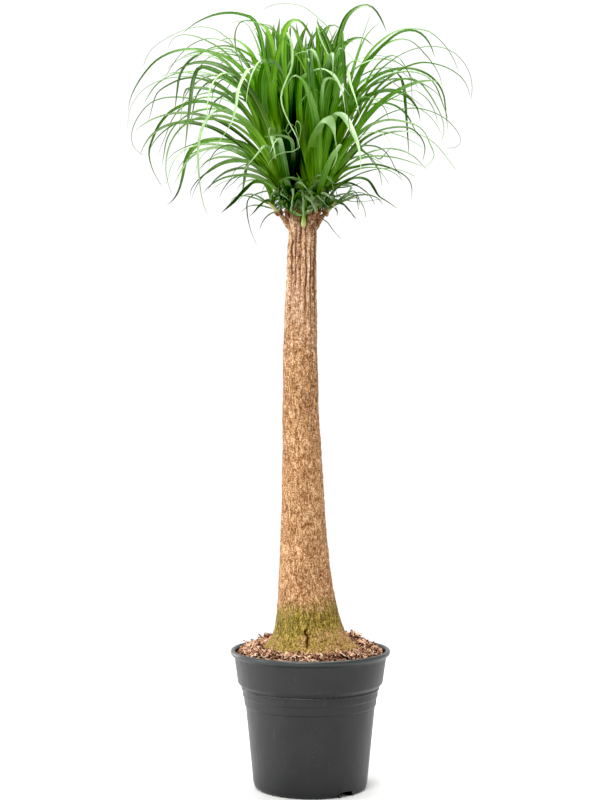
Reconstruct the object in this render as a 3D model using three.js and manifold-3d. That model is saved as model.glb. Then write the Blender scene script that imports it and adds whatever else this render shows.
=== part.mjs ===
// A ponytail palm grown as a standard: one bare corky stem, flared at its foot, with heads of
// long strap leaves at its top, standing in a round nursery pot of potting soil under bark mulch.
// Millimetres, +Z up. The origin is on the ground, at the middle of the pot's base. The front of
// the plant faces -Y and +X is to its right.

import * as THREE from "three";
import { mergeVertices } from "three/addons/utils/BufferGeometryUtils.js";
import Module from "manifold-3d";

// The clearance between pieces that touch.
const GAP = 0.35;

// The pot's outline is a list of [radius, height]: outside from the middle of the base up to the
// bead, and inside from the rim down to the middle of the floor.
const POT = {
  sides: 48,
  outside: [
    [0, 0],
    [101, 0],
    [108, 3.5],
    [110.5, 11],
    [125.3, 158.5],
    [127.6, 160.5],
    [128.9, 175.5],
    [130.9, 178],
    [131.3, 194],
    [140.3, 203.5],
    [147.3, 253],
    [153.6, 257.5],
    [155, 262.5],
    [152.6, 266.5],
  ],
  rim: [147.8, 266.5],
  inside: [
    [145.4, 262.5],
    [138, 204.5],
    [129, 195],
    [108.2, 11],
  ],
  floor: [104, 3],
};

// Two channels under the floor drain through notches in the pot's lower edge. Each has a raised
// roof inside the pot, with holes through it.
const DRAIN = {
  angles: [-52.3, 127.7],
  width: 28,
  height: 10,
  innerEnd: 42,
  outerEnd: 125,
  roof: 3,
  roofEnd: 112,
  holeRadius: 6,
  holesAt: [58, 82],
};

const SOIL_TOP = 240;

// The mulch lies level with the rim, lower along the wall, and is heaped up at the back.
const MULCH = {
  rings: [126, 108, 92, 58],
  level: 266,
  edgeLevel: 253,
  edgeWidth: 26,
  roughness: 3,
  heaps: [
    { angle: 42, radius: 112, height: 15, spread: 24 },
    { angle: 128, radius: 118, height: 9, spread: 34 },
  ],
  seed: 11,
};
const CHIPS = { count: 16, radii: [98, 130], lengths: [13, 24], tilt: 22, flatness: 0.6, sunk: 2 };

// The stem's radius is a straight taper with two flares that die away above the soil. Its axis
// leans aside as it rises, and bows a little on the way.
const STEM = {
  sides: 48,
  top: 1106,
  soil: 262,
  heights: [262, 270, 282, 300, 328, 372, 450, 580, 760, 950, 1106],
  rootCrown: [192, 206, 232],
  crownDepth: 74,
  tipRadius: 26.3,
  taper: 0.0225,
  taperTop: 1080,
  flareFrom: 274,
  flares: [
    { size: 24, fade: 135 },
    { size: 17, fade: 22 },
  ],
  footAside: 2,
  lean: { size: 17, fade: 110 },
  bow: { size: 4.5, from: 560, length: 500 },
};
const RIBS = { count: 12, depths: [0.5, 1.5], between: [600, 1000], wave: 0.9, wavelength: 240 };
const LOBES = { count: 4, share: 0.035, fade: 60, phase: 0.7 };
const ROOTS = { count: 4, phase: 0.3, from: [48, 222], radii: [14, 5], length: 62, slope: 42 };

// Where each head's leaves may grow, so that no two heads cross: the large heads keep to a
// sector of the crown each, and the small shoots to the room in a bubble of their own. The
// crown is no wider than its reach, and its hem rises outwards.
const CROWN = { reach: 346, hem: 1030, hemSlope: 0.45, margin: 0.8, stemMargin: 5, collarMargin: 2.5 };
const BUBBLES = {
  left: { centre: [-119, -4, 1096], size: [69, 42, 64] },
  right: { centre: [90, -4, 1096], size: [69, 42, 64] },
  front: { centre: [-13, -60, 1140], size: [24, 30, 52] },
};
const BUBBLE_SHARE = { inside: 0.98, outside: 1.02 };

// Each head: the collar that carries it, from where it leaves the stem, its foot, both beside
// the stem's axis at its top, the way it points, its core, and how many leaves it carries, the
// longest and the widest of them, and how far the oldest and the youngest lean as they start.
const HEADS = [
  {
    name: "leaf_head_left",
    collar: { from: [-9, -8, 1050], radius: 13 },
    foot: [-19, -18, 1112],
    aim: [-0.26, -0.18, 1],
    core: { radius: 13, length: 82 },
    leaves: 39,
    longest: 545,
    widest: 21,
    launch: [70, 4],
    sector: [180, 270],
    seed: 101,
    green: "#5c9a22",
  },
  {
    name: "leaf_head_right",
    collar: { from: [9, -8, 1050], radius: 13 },
    foot: [19, -18, 1112],
    aim: [0.28, -0.18, 1],
    core: { radius: 13, length: 82 },
    leaves: 39,
    longest: 550,
    widest: 21,
    launch: [70, 4],
    sector: [-90, 0],
    seed: 202,
    green: "#64a428",
  },
  {
    name: "leaf_head_back_left",
    collar: { from: [-8, 9, 1050], radius: 12 },
    foot: [-15, 20, 1112],
    aim: [-0.15, 0.28, 1],
    core: { radius: 12.5, length: 78 },
    leaves: 34,
    longest: 535,
    widest: 19,
    launch: [70, 4],
    sector: [75, 180],
    seed: 303,
    green: "#4f8c1f",
  },
  {
    name: "leaf_head_back_right",
    collar: { from: [8, 9, 1050], radius: 12 },
    foot: [20, 15, 1112],
    aim: [0.28, 0.22, 1],
    core: { radius: 11, length: 74 },
    leaves: 28,
    longest: 530,
    widest: 19,
    launch: [70, 4],
    sector: [0, 75],
    seed: 404,
    green: "#548f22",
  },
  {
    name: "side_shoot_left",
    collar: { from: [-18, -2, 1072], radius: 8 },
    foot: [-46, -4, 1112],
    aim: [-0.8, -0.15, 0.75],
    core: { radius: 6, length: 34 },
    leaves: 14,
    longest: 150,
    widest: 9,
    launch: [104, 40],
    bubble: "left",
    seed: 505,
    green: "#3f7a20",
  },
  {
    name: "side_shoot_right",
    collar: { from: [18, -2, 1072], radius: 9 },
    foot: [44, -4, 1112],
    aim: [0.8, -0.15, 0.75],
    core: { radius: 6.5, length: 34 },
    leaves: 14,
    longest: 150,
    widest: 9,
    launch: [104, 40],
    bubble: "right",
    seed: 606,
    green: "#3f7a20",
  },
  {
    name: "front_shoot",
    collar: { from: [1, -18, 1072], radius: 8 },
    foot: [2, -36, 1096],
    aim: [0.05, -0.42, 1],
    core: { radius: 5.5, length: 22 },
    leaves: 8,
    longest: 110,
    widest: 8,
    launch: [50, 6],
    bubble: "front",
    seed: 707,
    green: "#86ab57",
  },
];

// A core swells above its foot and narrows to its top: [share of its length, share of its radius].
const CORE_SWELL = [
  [0, 1],
  [0.2, 1.25],
  [0.6, 0.85],
  [1, 0.45],
];

// Leaf shape. Pairs run from the oldest leaf, at a core's foot, to the youngest, in its heart.
const LEAF = {
  steps: 42,
  spacing: 0.62,
  heights: [0.14, 0.97],
  rootDepth: 4,
  rootWidth: 0.42,
  rootLength: 0.2,
  prime: [0.07, 0.81],
  least: { length: 0.3, width: 0.62 },
  steepening: 0.55,
  tipAngles: [172, 122],
  stiffness: [1.3, 2.4],
  channel: 0.13,
  keel: 0.45,
  thinnest: 0.8,
};
// How much leaves differ: a range to multiply by, or the width of a range about the middle.
const SPREAD = {
  length: [0.84, 1.06],
  width: [0.82, 1.06],
  stiffness: [0.85, 1.2],
  spiral: 0.5,
  launch: 16,
  tip: 34,
  heading: 0.3,
  drift: 0.9,
  twist: 120,
};
// How a leaf finds its place: most draws, how many fitting ones to choose from, how much a leaf
// shortens over the draws, and from which step on leaves shouldn't crowd each other.
const PLACING = { draws: 70, choices: 8, shortening: 0.45, crowdFrom: 11, crowdGap: 3 };
const GOLDEN_ANGLE = Math.PI * (3 - Math.sqrt(5));

const wasm = await Module();
wasm.setup();

const radians = THREE.MathUtils.degToRad;
const { clamp, lerp, smoothstep } = THREE.MathUtils;

// A repeatable stream of numbers from 0 to 1.
function randomStream(seed) {
  let state = seed >>> 0;
  const next = () => {
    state = (Math.imul(state, 1664525) + 1013904223) >>> 0;
    return state / 4294967296;
  };
  for (let i = 0; i < 5; i++) next();
  return next;
}

function solidOf(geometry) {
  const bare = new THREE.BufferGeometry();
  bare.setAttribute("position", geometry.getAttribute("position"));
  if (geometry.index) bare.setIndex(geometry.index);
  const merged = mergeVertices(bare, 1e-4);
  return new wasm.Manifold(
    new wasm.Mesh({
      numProp: 3,
      vertProperties: Float32Array.from(merged.attributes.position.array),
      triVerts: Uint32Array.from(merged.index.array),
    }),
  );
}

function meshOf(name, solid, color, roughness) {
  const made = solid.simplify(0.01).getMesh();
  const geometry = new THREE.BufferGeometry();
  const positions = Float32Array.from(made.vertProperties);
  geometry.setAttribute("position", new THREE.BufferAttribute(positions, 3));
  geometry.setIndex(new THREE.BufferAttribute(Uint32Array.from(made.triVerts), 1));
  geometry.computeVertexNormals();
  const look = new THREE.MeshStandardMaterial({ color, roughness, metalness: 0 });
  const mesh = new THREE.Mesh(geometry, look);
  mesh.name = name;
  return mesh;
}

// A shape turned from a profile of [radius, height] that runs anticlockwise in section.
function turnedGeometry(profile, sides) {
  const points = profile.map(([radius, height]) => new THREE.Vector2(radius, height));
  return new THREE.LatheGeometry(points, sides).rotateX(Math.PI / 2);
}

function turned(profile) {
  return solidOf(turnedGeometry(profile, POT.sides));
}

// A skin over rings of equal size, closed by a fan to the middle of each end ring, or to a tip.
function skinned(rings, tip = null) {
  const size = rings[0].length;
  const middle = (ring) =>
    ring.reduce((sum, p) => sum.add(p), new THREE.Vector3()).divideScalar(size);
  const points = [...rings.flat(), middle(rings[0]), tip ?? middle(rings.at(-1))];
  const start = points.length - 2;
  const last = (rings.length - 1) * size;
  const faces = [];
  for (let i = 0; i < size; i++) {
    const j = (i + 1) % size;
    for (let ring = 0; ring < last; ring += size) {
      const [a, b] = [ring + i, ring + j];
      faces.push(a, b, b + size, a, b + size, a + size);
    }
    faces.push(j, i, start, last + i, last + j, start + 1);
  }
  const geometry = new THREE.BufferGeometry().setFromPoints(points);
  geometry.setIndex(faces);
  return solidOf(geometry);
}

// A round bar from one point to another, with its own radius at each end.
function bar(from, to, fromRadius, toRadius, sides) {
  const length = from.distanceTo(to);
  const shape = new THREE.CylinderGeometry(toRadius, fromRadius, length, sides);
  const turn = new THREE.Quaternion().setFromUnitVectors(
    new THREE.Vector3(0, 1, 0),
    to.clone().sub(from).normalize(),
  );
  shape.applyQuaternion(turn).translate(...from.clone().lerp(to, 0.5).toArray());
  return solidOf(shape);
}

function stemAxis(z) {
  const rise = Math.max(z - STEM.flareFrom, 0);
  const bend = clamp((z - STEM.bow.from) / STEM.bow.length, 0, 1);
  const lean = STEM.lean.size * (1 - Math.exp(-rise / STEM.lean.fade));
  return STEM.footAside - lean - STEM.bow.size * Math.sin(Math.PI * bend);
}

function stemRadius(z) {
  const height = Math.max(z, STEM.soil);
  const straight = STEM.tipRadius + STEM.taper * (STEM.taperTop - height);
  const rise = height - STEM.flareFrom;
  return STEM.flares.reduce((sum, { size, fade }) => sum + size * Math.exp(-rise / fade), straight);
}

// Corky ribs that are deepest near the top, and broad lobes where the roots spread.
function stemRing(z, extra, shrink = 1) {
  const depth = lerp(...RIBS.depths, smoothstep(z, ...RIBS.between));
  const swell = LOBES.share * Math.exp(-Math.max(z - STEM.soil, 0) / LOBES.fade);
  const turn = RIBS.wave * Math.sin(z / RIBS.wavelength);
  return Array.from({ length: STEM.sides }, (_, i) => {
    const angle = (2 * Math.PI * i) / STEM.sides;
    const lobe = 1 + swell * Math.cos(LOBES.count * angle + LOBES.phase);
    const rib = depth * Math.cos(RIBS.count * angle + turn);
    const radius = (stemRadius(z) * lobe + rib) * shrink + extra;
    return new THREE.Vector3(
      stemAxis(z) + radius * Math.cos(angle),
      radius * Math.sin(angle),
      z,
    );
  });
}

// The stem with its root crown and main roots, grown outwards by extra.
function stemBody(extra) {
  const crown = STEM.rootCrown.map((z) => {
    const below = (STEM.soil - z) / STEM.crownDepth;
    return stemRing(z, extra, Math.sqrt(1 - below * below));
  });
  for (const point of crown[0]) point.z -= extra;
  const body = skinned([...crown, ...STEM.heights.map((z) => stemRing(z, extra))]);
  const drop = radians(ROOTS.slope);
  const roots = Array.from({ length: ROOTS.count }, (_, i) => {
    const angle = (2 * Math.PI * (i + ROOTS.phase)) / ROOTS.count;
    const out = new THREE.Vector3(Math.cos(angle), Math.sin(angle), 0);
    const from = out.clone().multiplyScalar(ROOTS.from[0]).setZ(ROOTS.from[1]);
    const way = out.clone().multiplyScalar(Math.cos(drop)).setZ(-Math.sin(drop));
    const to = from.clone().addScaledVector(way, ROOTS.length + extra);
    return bar(from, to, ROOTS.radii[0] + extra, ROOTS.radii[1] + extra, 5);
  });
  return wasm.Manifold.union([body, ...roots]);
}

function besideStem([x, y, z]) {
  return new THREE.Vector3(stemAxis(STEM.top) + x, y, z);
}

function headAim(head) {
  return new THREE.Vector3(...head.aim).normalize();
}

// The bent line that a collar follows, from inside the stem to just under the foot of its head.
function collarLine(head) {
  const start = besideStem(head.collar.from);
  const end = besideStem(head.foot).addScaledVector(headAim(head), -GAP);
  const knee = end.clone().addScaledVector(headAim(head), -0.25 * start.distanceTo(end));
  return [start, knee, end];
}

function makeStem() {
  const collars = HEADS.flatMap((head) => {
    const { radius } = head.core;
    const [start, knee, end] = collarLine(head);
    const below = knee.clone().addScaledVector(headAim(head), -2);
    return [bar(start, knee, head.collar.radius, radius, 8), bar(below, end, radius, radius, 8)];
  });
  return wasm.Manifold.union([stemBody(0), ...collars]);
}

function drainBlock(angle, from, to, width, low, high) {
  const block = new THREE.BoxGeometry(to - from, width, high - low);
  block.translate((from + to) / 2, 0, (low + high) / 2).rotateZ(radians(angle));
  return solidOf(block);
}

// The raised roofs over the drain channels, grown outwards by extra.
function drainRoofs(extra) {
  const { angles, innerEnd, roof, roofEnd, width, height } = DRAIN;
  const side = roof + extra;
  const low = POT.floor[1] / 2;
  return wasm.Manifold.union(
    angles.map((angle) =>
      drainBlock(angle, innerEnd - side, roofEnd, width + 2 * side, low, height + side),
    ),
  );
}

function drainCuts() {
  const { angles, innerEnd, outerEnd, width, height, roof, holeRadius, holesAt } = DRAIN;
  return wasm.Manifold.union(
    angles.flatMap((angle) => [
      drainBlock(angle, innerEnd, outerEnd, width, -height, height),
      ...holesAt.map((radius) => {
        const hole = new THREE.CylinderGeometry(holeRadius, holeRadius, 4 * roof, 12);
        hole.rotateX(Math.PI / 2).translate(radius, 0, height).rotateZ(radians(angle));
        return solidOf(hole);
      }),
    ]),
  );
}

function makePot() {
  const { outside, rim, inside, floor } = POT;
  const shell = turned([...outside, rim, ...inside, floor, [0, floor[1]]]);
  const body = turned([...outside, [0, rim[1]]]);
  return shell.add(drainRoofs(0).intersect(body)).subtract(drainCuts());
}

// The radius of what fills the pot, at a height in the pot's collar.
function fillRadius(z) {
  const [top, foot] = POT.inside;
  return lerp(foot[0], top[0], (z - foot[1]) / (top[1] - foot[1])) - GAP;
}

function makeSoil() {
  const bottom = [POT.floor[0] - GAP, POT.floor[1] + GAP];
  const wall = POT.inside
    .slice(1)
    .reverse()
    .map(([radius, z]) => [radius - GAP, z]);
  const top = [fillRadius(SOIL_TOP), SOIL_TOP];
  const filled = turned([[0, bottom[1]], bottom, ...wall, top, [0, SOIL_TOP]]);
  return filled.subtract(drainRoofs(GAP)).subtract(stemBody(GAP));
}

function mulchHeight(radius, angle, random) {
  const { level, edgeLevel, edgeWidth, heaps, roughness } = MULCH;
  const wall = fillRadius(edgeLevel);
  let height = lerp(level, edgeLevel, smoothstep(radius, wall - edgeWidth, wall));
  for (const heap of heaps) {
    const turn = angle - radians(heap.angle);
    const away = radius ** 2 + heap.radius ** 2 - 2 * radius * heap.radius * Math.cos(turn);
    height += heap.height * Math.exp(-away / heap.spread ** 2);
  }
  return height + roughness * (2 * random() - 1);
}

function ringAt(radius, heightAt) {
  return Array.from({ length: POT.sides }, (_, i) => {
    const angle = (2 * Math.PI * i) / POT.sides;
    return new THREE.Vector3(radius * Math.cos(angle), radius * Math.sin(angle), heightAt(angle));
  });
}

// A three-sided splinter of bark, lying nearly flat.
function makeChip(index, random) {
  const angle = index * GOLDEN_ANGLE;
  const radius = lerp(...CHIPS.radii, random());
  const length = lerp(...CHIPS.lengths, random());
  const tilt = radians(CHIPS.tilt) * (2 * random() - 1);
  const turn = 2 * Math.PI * random();
  const chip = new THREE.CylinderGeometry(0.16 * length, 0.3 * length, length, 3);
  chip.scale(1, 1, CHIPS.flatness).rotateX(tilt).rotateZ(turn);
  const z = mulchHeight(radius, angle, random) - CHIPS.sunk;
  return solidOf(chip.translate(radius * Math.cos(angle), radius * Math.sin(angle), z));
}

// The mulch is a disc with an uneven top, and loose chips set into it. A quarter turn is a whole
// number of the pot's sides, so the disc's facets lie along the pot's.
function makeMulch() {
  const random = randomStream(MULCH.seed);
  const floor = SOIL_TOP + GAP;
  const bed = skinned([
    ringAt(MULCH.rings.at(-1), () => floor),
    ringAt(fillRadius(floor), () => floor),
    ringAt(fillRadius(MULCH.edgeLevel), () => MULCH.edgeLevel),
    ...MULCH.rings.map((radius) => ringAt(radius, (angle) => mulchHeight(radius, angle, random))),
  ]);
  const chips = Array.from({ length: CHIPS.count }, (_, i) => makeChip(i, random));
  const whole = wasm.Manifold.union([bed, ...chips]).subtract(stemBody(GAP));
  return largestBody(whole);
}

// Leaves out the loose scraps of chips that the stem's hole cuts off.
function largestBody(solid) {
  return solid.decompose().reduce((most, body) => (body.volume() > most.volume() ? body : most));
}

function distanceToLine(point, from, to) {
  const nearest = new THREE.Line3(from, to).closestPointToPoint(point, true, new THREE.Vector3());
  return nearest.distanceTo(point);
}

function clearOfStem(point) {
  const aside = Math.hypot(point.x - stemAxis(point.z), point.y);
  if (point.z < STEM.top + 2 && aside < stemRadius(point.z) + CROWN.stemMargin) return false;
  return HEADS.every((head) => {
    const [start, knee, end] = collarLine(head);
    if (point.clone().sub(end).dot(headAim(head)) > 4 * GAP) return true;
    const limit = Math.max(head.collar.radius, head.core.radius) + CROWN.collarMargin;
    return distanceToLine(point, start, knee) > limit && distanceToLine(point, knee, end) > limit;
  });
}

function inBubble(point, { centre: [x, y, z], size: [a, b, c] }, share) {
  return Math.hypot((point.x - x) / a, (point.y - y) / b, (point.z - z) / c) < share;
}

// Where a leaf may be: in its head's own sector or bubble, and clear of the stem.
function allowed(head, point) {
  if (head.bubble) {
    const own = BUBBLES[head.bubble];
    return inBubble(point, own, BUBBLE_SHARE.inside) && clearOfStem(point);
  }
  const dx = point.x - stemAxis(STEM.top);
  const [from, to] = head.sector.map(radians);
  if (point.y * Math.cos(from) - dx * Math.sin(from) < CROWN.margin) return false;
  if (dx * Math.sin(to) - point.y * Math.cos(to) < CROWN.margin) return false;
  const aside = Math.hypot(dx, point.y);
  if (aside > CROWN.reach || point.z < CROWN.hem + CROWN.hemSlope * aside) return false;
  const bubbles = Object.values(BUBBLES);
  if (bubbles.some((bubble) => inBubble(point, bubble, BUBBLE_SHARE.outside))) return false;
  return clearOfStem(point);
}

function outwardOf(head) {
  return Math.atan2(head.aim[1], head.aim[0]);
}

// One draw of a leaf's shape. Age runs from 0, the oldest leaf, to 1, the youngest.
function drawLeaf(head, age, index, random) {
  const within = ([low, high]) => lerp(low, high, random());
  const about = (width) => width * (random() - 0.5);
  const outward = outwardOf(head);
  const spiral = index * GOLDEN_ANGLE + about(SPREAD.spiral) - outward;
  const away = Math.atan2(Math.sin(spiral), Math.cos(spiral));
  const prime = Math.sin(Math.PI * lerp(...LEAF.prime, age));
  const launch = lerp(...head.launch, age ** LEAF.steepening) + about(SPREAD.launch);
  return {
    age,
    side: outward + 0.85 * away,
    heading: outward + 0.68 * away + about(SPREAD.heading),
    drift: about(SPREAD.drift),
    launch: radians(Math.max(launch, 3)),
    tip: radians(lerp(...LEAF.tipAngles, age ** 3) + about(SPREAD.tip)),
    power: lerp(...LEAF.stiffness, age ** 0.6) * within(SPREAD.stiffness),
    twist: radians(about(SPREAD.twist)),
    length: head.longest * lerp(LEAF.least.length, 1, prime) * within(SPREAD.length),
    width: head.widest * lerp(LEAF.least.width, 1, prime) * within(SPREAD.width),
  };
}

function coreRadius(head, height) {
  const upper = CORE_SWELL.findIndex(([share]) => share >= height);
  if (upper < 1) return head.core.radius;
  const [[low, from], [high, to]] = CORE_SWELL.slice(upper - 1, upper + 1);
  return head.core.radius * lerp(from, to, (height - low) / (high - low));
}

// Follows a leaf from inside its core to its tip. Each station has its point, the way across
// the blade, the way up from its face, and the blade's width there.
function leafStations(head, leaf) {
  const aim = headAim(head);
  const across = new THREE.Vector3(-Math.sin(leaf.side), Math.cos(leaf.side), 0);
  const out = across.clone().cross(aim).normalize();
  const height = lerp(...LEAF.heights, leaf.age);
  const point = besideStem(head.foot)
    .addScaledVector(aim, height * head.core.length)
    .addScaledVector(out, Math.max(coreRadius(head, height) - LEAF.rootDepth, 0));
  const stations = [];
  for (let k = 0; k <= LEAF.steps; k++) {
    const s = k / LEAF.steps;
    const lean = lerp(leaf.launch, leaf.tip, s ** leaf.power);
    const heading = leaf.heading + leaf.drift * s * s;
    const forward = new THREE.Vector3(
      Math.sin(lean) * Math.cos(heading),
      Math.sin(lean) * Math.sin(heading),
      Math.cos(lean),
    );
    const level = new THREE.Vector3(-Math.sin(heading), Math.cos(heading), 0);
    const face = forward.clone().cross(level);
    const [cos, sin] = [Math.cos(leaf.twist * s), Math.sin(leaf.twist * s)];
    const root = lerp(LEAF.rootWidth, 1, smoothstep(s, 0, LEAF.rootLength));
    stations.push({
      point: point.clone(),
      across: level.clone().multiplyScalar(cos).addScaledVector(face, sin),
      face: face.clone().multiplyScalar(cos).addScaledVector(level, -sin),
      width: leaf.width * root * (1 - s ** 1.5),
    });
    point.addScaledVector(forward, leaf.length / LEAF.steps);
  }
  return stations;
}

// Whether a leaf keeps to its place along both edges and its middle, once it is out of its core.
function staysInPlace(head, stations) {
  const freeFrom = head.bubble ? 9 : 4;
  return stations.slice(freeFrom).every(({ point, across, width }) =>
    [-0.5, 0, 0.5].every((side) =>
      allowed(head, point.clone().addScaledVector(across, side * width)),
    ),
  );
}

// How often a leaf comes in the way of the leaves that are already there.
function crowding(stations, others) {
  let count = 0;
  for (let k = PLACING.crowdFrom; k < LEAF.steps; k += 2) {
    const { point, width } = stations[k];
    for (const other of others) {
      const near = other.slice(PLACING.crowdFrom).some((station) => {
        const limit = 0.42 * (width + station.width) + PLACING.crowdGap;
        return point.distanceTo(station.point) < limit;
      });
      if (near) count++;
    }
  }
  return count;
}

// Draws a leaf until it keeps to its place, turning it outwards and shortening it a little each
// time, and takes the least crowded of the first few that do.
function placeLeaf(head, age, index, random, others) {
  let best = null;
  let found = 0;
  for (let draw = 0; draw < PLACING.draws && found < PLACING.choices; draw++) {
    const leaf = drawLeaf(head, age, index, random);
    const share = draw / PLACING.draws;
    leaf.heading = lerp(leaf.heading, outwardOf(head), share);
    leaf.side = lerp(leaf.side, outwardOf(head), share);
    leaf.length *= 1 - PLACING.shortening * share;
    const stations = leafStations(head, leaf);
    if (!staysInPlace(head, stations)) continue;
    found++;
    const crowd = crowding(stations, others);
    if (!best || crowd < best.crowd) best = { stations, crowd };
    if (crowd === 0) break;
  }
  return best ? best.stations : null;
}

// A blade of triangular section, flat above and keeled below, that ends in a point. Its sections
// stand closer together towards the tip, where it bends most.
function bladeSolid(stations, pieces) {
  const rings = Array.from({ length: pieces }, (_, i) => {
    const at = Math.round(LEAF.steps * (i / pieces) ** LEAF.spacing);
    const { point, across, face, width } = stations[at];
    const half = Math.max(0.5 * width, LEAF.thinnest);
    const keel = LEAF.keel + LEAF.channel * width;
    const middle = point.clone().addScaledVector(face, 0.4 * keel);
    return [
      middle.clone().addScaledVector(across, -half),
      point.clone().addScaledVector(face, -keel),
      middle.clone().addScaledVector(across, half),
    ];
  });
  return skinned(rings, stations.at(-1).point);
}

function makeCore(head) {
  const { radius, length } = head.core;
  const profile = CORE_SWELL.map(([share, swell]) => [swell * radius, share * length]);
  const core = turnedGeometry([[0, 0], ...profile, [0, length]], 10);
  const up = new THREE.Vector3(0, 0, 1);
  const turn = new THREE.Quaternion().setFromUnitVectors(up, headAim(head));
  return solidOf(core.applyQuaternion(turn).translate(...besideStem(head.foot).toArray()));
}

function makeHead(head) {
  const random = randomStream(head.seed);
  const pieces = head.bubble ? 4 : 6;
  const leaves = [];
  for (let i = 0; i < head.leaves; i++) {
    const stations = placeLeaf(head, (i + 0.5) / head.leaves, i, random, leaves);
    if (stations) leaves.push(stations);
  }
  const blades = leaves.map((stations) => bladeSolid(stations, pieces));
  return wasm.Manifold.union([makeCore(head), ...blades]);
}

const plant = new THREE.Group();
plant.add(meshOf("pot", makePot(), "#3d4042", 0.5));
plant.add(meshOf("potting_soil", makeSoil(), "#3a2a1f", 0.98));
plant.add(meshOf("bark_mulch", makeMulch(), "#a57b5e", 0.95));
plant.add(meshOf("stem", makeStem(), "#c0926a", 0.9));
for (const head of HEADS) {
  plant.add(meshOf(head.name, makeHead(head), head.green, 0.55));
}

export default plant;
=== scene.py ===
"""A ponytail palm grown as a standard, in its nursery pot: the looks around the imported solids.

The shape functions work in millimetres, in the frame of the solids: the origin is on the ground
at the middle of the pot's base, +Z is up and the front faces -Y. add_piece turns millimetres
into Blender's metres. Shares run from 0 to 1, and so does a turn round the stem.
"""

import math
from functools import partial
from types import SimpleNamespace

import bpy
import numpy as np
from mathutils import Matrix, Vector


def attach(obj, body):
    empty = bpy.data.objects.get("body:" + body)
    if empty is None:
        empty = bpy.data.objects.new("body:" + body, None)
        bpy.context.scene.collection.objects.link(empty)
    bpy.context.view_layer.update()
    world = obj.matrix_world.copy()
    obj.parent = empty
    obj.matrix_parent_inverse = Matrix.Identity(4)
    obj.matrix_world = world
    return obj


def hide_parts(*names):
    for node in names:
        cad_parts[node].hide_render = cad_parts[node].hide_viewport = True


bl_info = {
    "name": "Potted ponytail palm",
    "version": (1, 0, 0),
    "blender": (4, 5, 0),
    "location": "3D View > Sidebar > Plant",
    "description": "Builds a potted ponytail palm with corky bark, strap leaves and bark mulch",
    "category": "Add Mesh",
}

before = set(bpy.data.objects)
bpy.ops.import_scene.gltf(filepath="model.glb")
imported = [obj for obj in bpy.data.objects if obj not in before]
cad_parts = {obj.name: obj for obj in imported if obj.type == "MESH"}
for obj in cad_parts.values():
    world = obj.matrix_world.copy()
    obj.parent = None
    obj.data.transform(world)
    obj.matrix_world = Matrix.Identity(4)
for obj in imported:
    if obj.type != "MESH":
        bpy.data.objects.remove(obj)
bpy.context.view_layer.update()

MM = 0.001
TURN = 2 * math.pi
GOLDEN_ANGLE = math.pi * (3 - math.sqrt(5))
# The clearance between pieces that touch.
GAP = 0.35

# The pot's outline, [radius, height], outside from the middle of the base up, over the bead and
# down inside to the middle of the floor. The third number is how far a corner is rounded.
POT_OUTLINE = [
    (0, 0, 0), (101, 0, 2), (108, 3.5, 4), (110.5, 11, 6), (125.3, 158.5, 0.8),
    (127.6, 160.5, 1.2), (128.9, 175.5, 0.8), (130.9, 178, 1.2), (131.1, 190.0, 0.4),
    (133.4, 190.6, 0.6), (133.8, 193.0, 0.6), (132.4, 194.4, 0.4), (140.3, 203.5, 2.2),
    (147.3, 253, 2.5), (153.6, 257.5, 3), (155, 262.5, 3), (152.6, 266.5, 2.6),
    (147.8, 266.5, 2.2), (145.4, 262.5, 3), (138, 204.5, 4), (129, 195, 4), (108.2, 11, 4),
    (104, 3, 3), (0, 3, 0),
]
# The wall inside: the rim, the foot of the collar, the shoulder, and above and at the floor.
POT_WALL = {
    "rim": (145.4, 262.5), "foot": (138, 204.5), "low": (129, 195), "base": (108.2, 11),
    "floor": (104, 3),
}
# A rounded corner's points, and how much of the shorter side it may take up.
CORNER = SimpleNamespace(steps=5, most=0.48)
# Two channels under the floor drain through notches in the pot's lower edge, under raised roofs.
DRAIN = SimpleNamespace(
    angles=(-52.3, 127.7), width=28, height=10, ends=(42, 125), roof=3, roof_end=109, room=20,
    hole_radius=6, hole_sides=32, holes_at=(58, 82),
)

SOIL = SimpleNamespace(top=240, sides=96, rows=8, rings=24, inner=8, crumbs=0.8, sunk=1.2)
MULCH = SimpleNamespace(
    floor=240.35, level=266, edge=256, edge_width=26, heaps=((42, 112, 15, 24), (128, 118, 9, 34)),
    hollow=(96, 8, 13, 20), inner=57, sides=180, rings=44, round_stem=(4, 2), rough=1.6,
    under_chips=3,
)

# The stem is a straight taper with two flares that die away above the soil. Its axis leans aside
# as it rises and bows a little.
STEM = SimpleNamespace(
    top=1106, soil=262, root_crown=(189, 192, 198, 206, 218, 232, 247), crown_depth=74,
    tip_radius=26.3, taper=0.0225, taper_top=1080, flare_from=274, flares=((24, 135), (17, 22)),
    foot_aside=2, lean=(17, 110), bow=(4.5, 560, 500), cap=((0.96, 3.0), (0.86, 5.5), (0.66, 7.0)),
)
RIBS = SimpleNamespace(count=12, depths=(0.5, 1.5), between=(600, 1000), wave=0.9, wavelength=240)
LOBES = SimpleNamespace(count=4, share=0.035, fade=60, phase=0.7)
ROOTS = SimpleNamespace(count=4, phase=0.3, start=(48, 222), radii=(14, 5), length=62, slope=42)
ROOT_STEPS = 14
ROOT_SIDES = 16

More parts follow.
